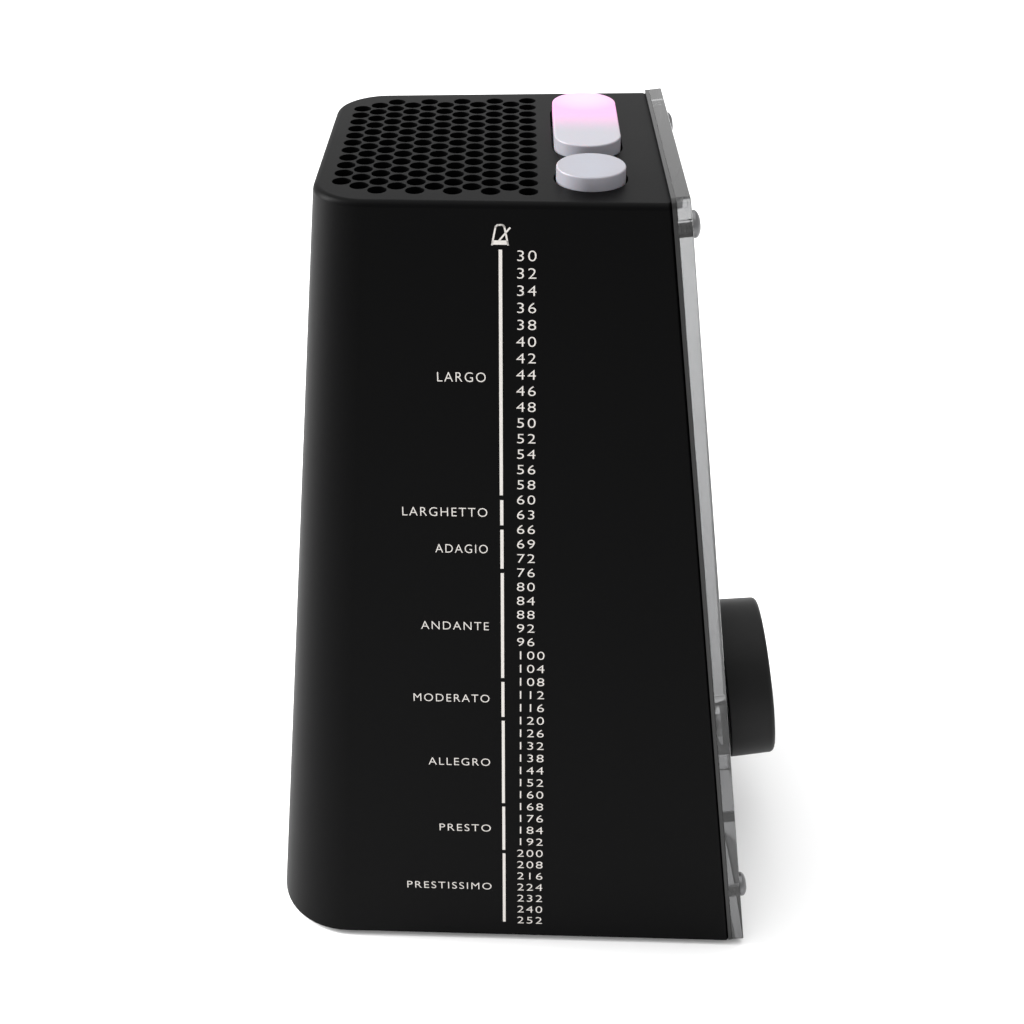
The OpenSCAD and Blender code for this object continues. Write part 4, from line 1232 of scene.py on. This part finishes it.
class KeysOperator(bpy.types.Operator):
    """Moulds the long lit key and the round key"""

    bl_idname = "metronome.keys"
    bl_label = "Keys"

    def execute(self, context):
        self.key("long_key", "start_key", "start", True)
        self.key("round_key", "tap_key", "tap", False)
        return {"FINISHED"}

    def key(self, name, node, body, lit):
        """A hollow cap with a soft edge, a flange round its foot and a stem in it."""
        sizes = bpy.context.scene.key_sizes
        low, high = key_cap_box(node)
        foot_low, foot_high = span(node)
        base = span(node, keep=lambda p: p.x > foot_high.x - TINY)[0].z
        reach = foot_high.x - high.x
        ceiling, step = high.z - sizes.wall, base + sizes.flange
        lip = reach / 6
        profile = [(-sizes.wall - lip, ceiling), (-sizes.wall, ceiling - lip), (-sizes.wall, base),
                   (reach - lip, base), (reach, base + lip), (reach, step - lip), (reach - lip, step),
                   (lip, step), (0, step + lip)]
        arc = 6
        for k in range(arc + 1):
            angle = math.pi / 2 * k / arc
            profile.append((sizes.edge * (math.cos(angle) - 1), high.z - sizes.edge * (1 - math.sin(angle))))
        bm = loft([[(p.x, p.y, z) for p in pill(low, high, grow, 24)] for grow, z in profile])
        stem = span(node, keep=lambda p: p.z < foot_low.z + TINY)
        rod(bm, radius_of(stem), foot_low.z, high.z - sizes.wall / 2, over_middle(stem))
        finish_piece(name, bm, body, key_plastic(lit), [node], crease=35, weigh=True)


class BaseOperator(bpy.types.Operator):
    """Moulds the base cover and the feet"""

    bl_idname = "metronome.base"
    bl_label = "Base"

    def execute(self, context):
        low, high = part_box("base_plate")
        sizes = context.scene.case_sizes
        slack = 0.0002
        cover = case_block(low.z, high.z, inset=sizes.wall + slack)
        foot_slack, head_slack, head_depth, shank_share = 0.0001, 0.00015, 0.0012, 0.6
        cutters = bmesh.new()
        for box in four("rubber_feet"):
            rod(cutters, radius_of(box) + foot_slack, low.z - PAST, box[1].z, over_middle(box), segments=64)
        for box in four("case_screws"):
            head, seat = radius_of(box) + head_slack, low.z + head_depth
            shank = head * shank_share
            turned(cutters, [(0, low.z - PAST), (head, low.z - PAST), (head, seat), (shank, seat),
                             (shank, high.z + PAST), (0, high.z + PAST)], over_middle(box), segments=48)
        finish_piece("base_cover", combine(cover, cutters), "case", case_moulding(), ["base_plate"])

        taper, low_round, high_round = 0.0002, 0.0003, 0.0001
        feet = bmesh.new()
        for box in four("rubber_feet"):
            radius, foot_low, foot_high = radius_of(box), box[0].z, box[1].z
            profile = rounded([(0, foot_low, 0), (radius - taper, foot_low, low_round),
                               (radius, foot_high, high_round), (0, foot_high, 0)], closed=False)
            turned(feet, profile, over_middle(box), segments=48)
        rubber = moulding("foot_rubber", (0.018, 0.018, 0.018), 0.75, 0.0004)
        finish_piece("foot_pads", feet, "case", rubber, ["rubber_feet"])
        dress("case_screws", metal("zinc", (0.5, 0.5, 0.52), 0.3, 0.0003))
        return {"FINISHED"}


class DoorOperator(bpy.types.Operator):
    """Moulds the battery door with its grip and hinge"""

    bl_idname = "metronome.door"
    bl_label = "Battery door"

    def execute(self, context):
        rear = rear_place()
        low, high = span("battery_door", rear)
        panel = span("battery_door", rear, lambda p: p.y > high.y - TINY)
        hinge = JOINTS["battery_door_swing"]
        axis = basis(hinge["pos_m"], (0, 0, 1), hinge["axis"])
        barrel, pin, shy, edge = 0.0015, 0.00075, 0.00005, 0.0003
        wall = context.scene.case_sizes.wall
        door = bmesh.new()
        block(door, (panel[0].x, low.y + barrel, -wall), (panel[1].x, high.y, -shy), rear, edge=edge)
        tube = bmesh.new()
        rod(tube, barrel, panel[0].x, panel[1].x, axis, segments=48)
        door = combine(door, tube, "UNION")
        pins = bmesh.new()
        rod(pins, pin, low.x, high.x, axis, segments=32)
        door = combine(door, pins, "UNION")

        grips, first, spacing, radius, half_length, rise = 5, 0.005, 0.0016, 0.0006, 0.005, 0.0002
        cutters = bmesh.new()
        for k in range(grips):
            place = rear @ Matrix.Translation((0, high.y - first - spacing * k, rise))
            rod(cutters, radius, -half_length, half_length, place @ Matrix.Rotation(math.pi / 2, 4, "Y"),
                segments=24)
        finish_piece("battery_cover", combine(door, cutters), "door", case_moulding(), ["battery_door"],
                     weigh=True)
        return {"FINISHED"}


class SideOperator(bpy.types.Operator):
    """Turns the jack's nose and knurls the volume wheel"""

    bl_idname = "metronome.side"
    bl_label = "Jack and wheel"

    def execute(self, context):
        place = jack_place()
        low, high = span("phones_jack", place)
        bore = MOUNTS["phones"]["dims"]["r_mm"] / 1000
        nose, nose_back, shoulder, lead_in, mouth = 0.0027, -0.003, -0.0023, 0.0003, 0.0004
        edge, soft, floor = 0.0003, 0.0002, 0.0005
        body = bmesh.new()
        block(body, low, (high.x, high.y, shoulder), place, edge=edge)
        collar = bmesh.new()
        profile = rounded([(0, nose_back, 0), (nose, nose_back, 0), (nose, high.z, soft),
                           (bore + lead_in, high.z, soft), (bore, high.z - mouth, 0),
                           (0, high.z - mouth, 0)], closed=False)
        turned(collar, profile, place, segments=64)
        body = combine(body, collar, "UNION")
        drill = bmesh.new()
        rod(drill, bore, low.z + floor, high.z + PAST, place, segments=48)
        plastic = moulding("jack_plastic", (0.012, 0.012, 0.012), 0.4, 0.0004)
        finish_piece("jack_body", combine(body, drill), "case", plastic, ["phones_jack"])

        place = wheel_place()
        low, high = span("volume_wheel", place)
        radius, teeth, steps, depth = high.x, 45, 4, 0.00022
        outline = []
        for k in range(teeth * steps):
            dip = depth * (1 - math.cos(math.tau * k / steps)) / 2
            angle = math.tau * k / (teeth * steps)
            outline.append(((radius - dip) * math.cos(angle), (radius - dip) * math.sin(angle)))
        thick = span("volume_wheel", place, lambda p: p.x > radius * 0.9)
        rim_edge, hub_radius = 0.00015, 0.0015
        wheel = bmesh.new()
        slab(wheel, outline, thick[0].z, thick[1].z, place, edge=rim_edge)
        hub = bmesh.new()
        rod(hub, hub_radius, low.z, high.z, place, segments=40)
        black = moulding("wheel_plastic", (0.011, 0.011, 0.011), 0.5, 0.0003)
        finish_piece("volume_thumbwheel", combine(wheel, hub, "UNION"), "volume", black,
                     ["volume_wheel"], crease=25)
        return {"FINISHED"}


class InsideOperator(bpy.types.Operator):
    """Finishes the pieces inside the case"""

    bl_idname = "metronome.inside"
    bl_label = "Inside"

    def execute(self, context):
        inner = moulding("inner_plastic", (0.02, 0.02, 0.02), 0.5, 0.0004)
        nickel = metal("nickel", (0.6, 0.6, 0.6), 0.25, 0.0002)
        finishes = {
            "plate_inserts": metal("turned_brass", (0.75, 0.52, 0.2), 0.28, 0.0003),
            "main_board": solder_mask(), "key_board": solder_mask(), "side_board": solder_mask(),
            "display_glass": display_glass(), "display_frame": inner,
            "display_light": light_lens("light_guide", (0.85, 0.87, 0.9), 0.2),
            "zebra_strips": moulding("contact_rubber", (0.16, 0.16, 0.17), 0.7, 0.0005),
            "encoder_body": nickel, "start_switch": inner, "tap_switch": inner,
            "start_plunger": moulding("plunger_red", (0.3, 0.03, 0.02), 0.45, 0.0004),
            "tap_plunger": moulding("plunger_red", (0.3, 0.03, 0.02), 0.45, 0.0004),
            "beat_lamp": light_lens("beat_lamp", (1.0, 0.45, 0.8), 3.0),
            "speaker_frame": nickel, "speaker_magnet": metal("ferrite", (0.06, 0.06, 0.065), 0.6, 0.0006),
            "speaker_cone": cone_paper(),
            "speaker_gasket": moulding("gasket_foam", (0.015, 0.015, 0.015), 0.9, 0.0007),
            "battery_tray": inner, "battery_cells": cell_jacket(), "spring_contacts": nickel,
            "plate_contacts": nickel, "volume_pot": inner, "speaker_leads": lead_jacket(),
            "battery_leads": lead_jacket(), "board_ribbon": ribbon_cable()}
        for node, material in finishes.items():
            dress(node, material)
        return {"FINISHED"}


class MetronomePanel(bpy.types.Panel):
    """The metronome's sizes and the buttons that make its pieces"""

    bl_idname = "VIEW3D_PT_metronome"
    bl_label = "Metronome"
    bl_space_type = "VIEW_3D"
    bl_region_type = "UI"
    bl_category = "Metronome"

    def draw(self, context):
        for group in GROUPS:
            sizes = getattr(context.scene, group)
            box = self.layout.box()
            for name in sizes.bl_rna.properties.keys():
                if name not in ("rna_type", "name"):
                    box.prop(sizes, name)
        for operator in OPERATORS:
            self.layout.operator(operator.bl_idname)


GROUPS = {"case_sizes": CaseSizes, "scale_sizes": ScaleSizes, "front_sizes": FrontSizes,
          "key_sizes": KeySizes, "stage_sizes": StageSizes}
OPERATORS = (StageOperator, CaseOperator, ScaleOperator, PlateOperator, DialOperator, KeysOperator,
             BaseOperator, DoorOperator, SideOperator, InsideOperator)


def register():
    for cls in (*GROUPS.values(), *OPERATORS, MetronomePanel):
        bpy.utils.register_class(cls)
    for name, group in GROUPS.items():
        setattr(bpy.types.Scene, name, PointerProperty(type=group))


def unregister():
    for name in GROUPS:
        delattr(bpy.types.Scene, name)
    for cls in (MetronomePanel, *reversed(OPERATORS), *reversed(GROUPS.values())):
        bpy.utils.unregister_class(cls)


def main():
    register()
    for operator in OPERATORS:
        group, name = operator.bl_idname.split(".")
        getattr(getattr(bpy.ops, group), name)()


if __name__ == "__main__":
    main()
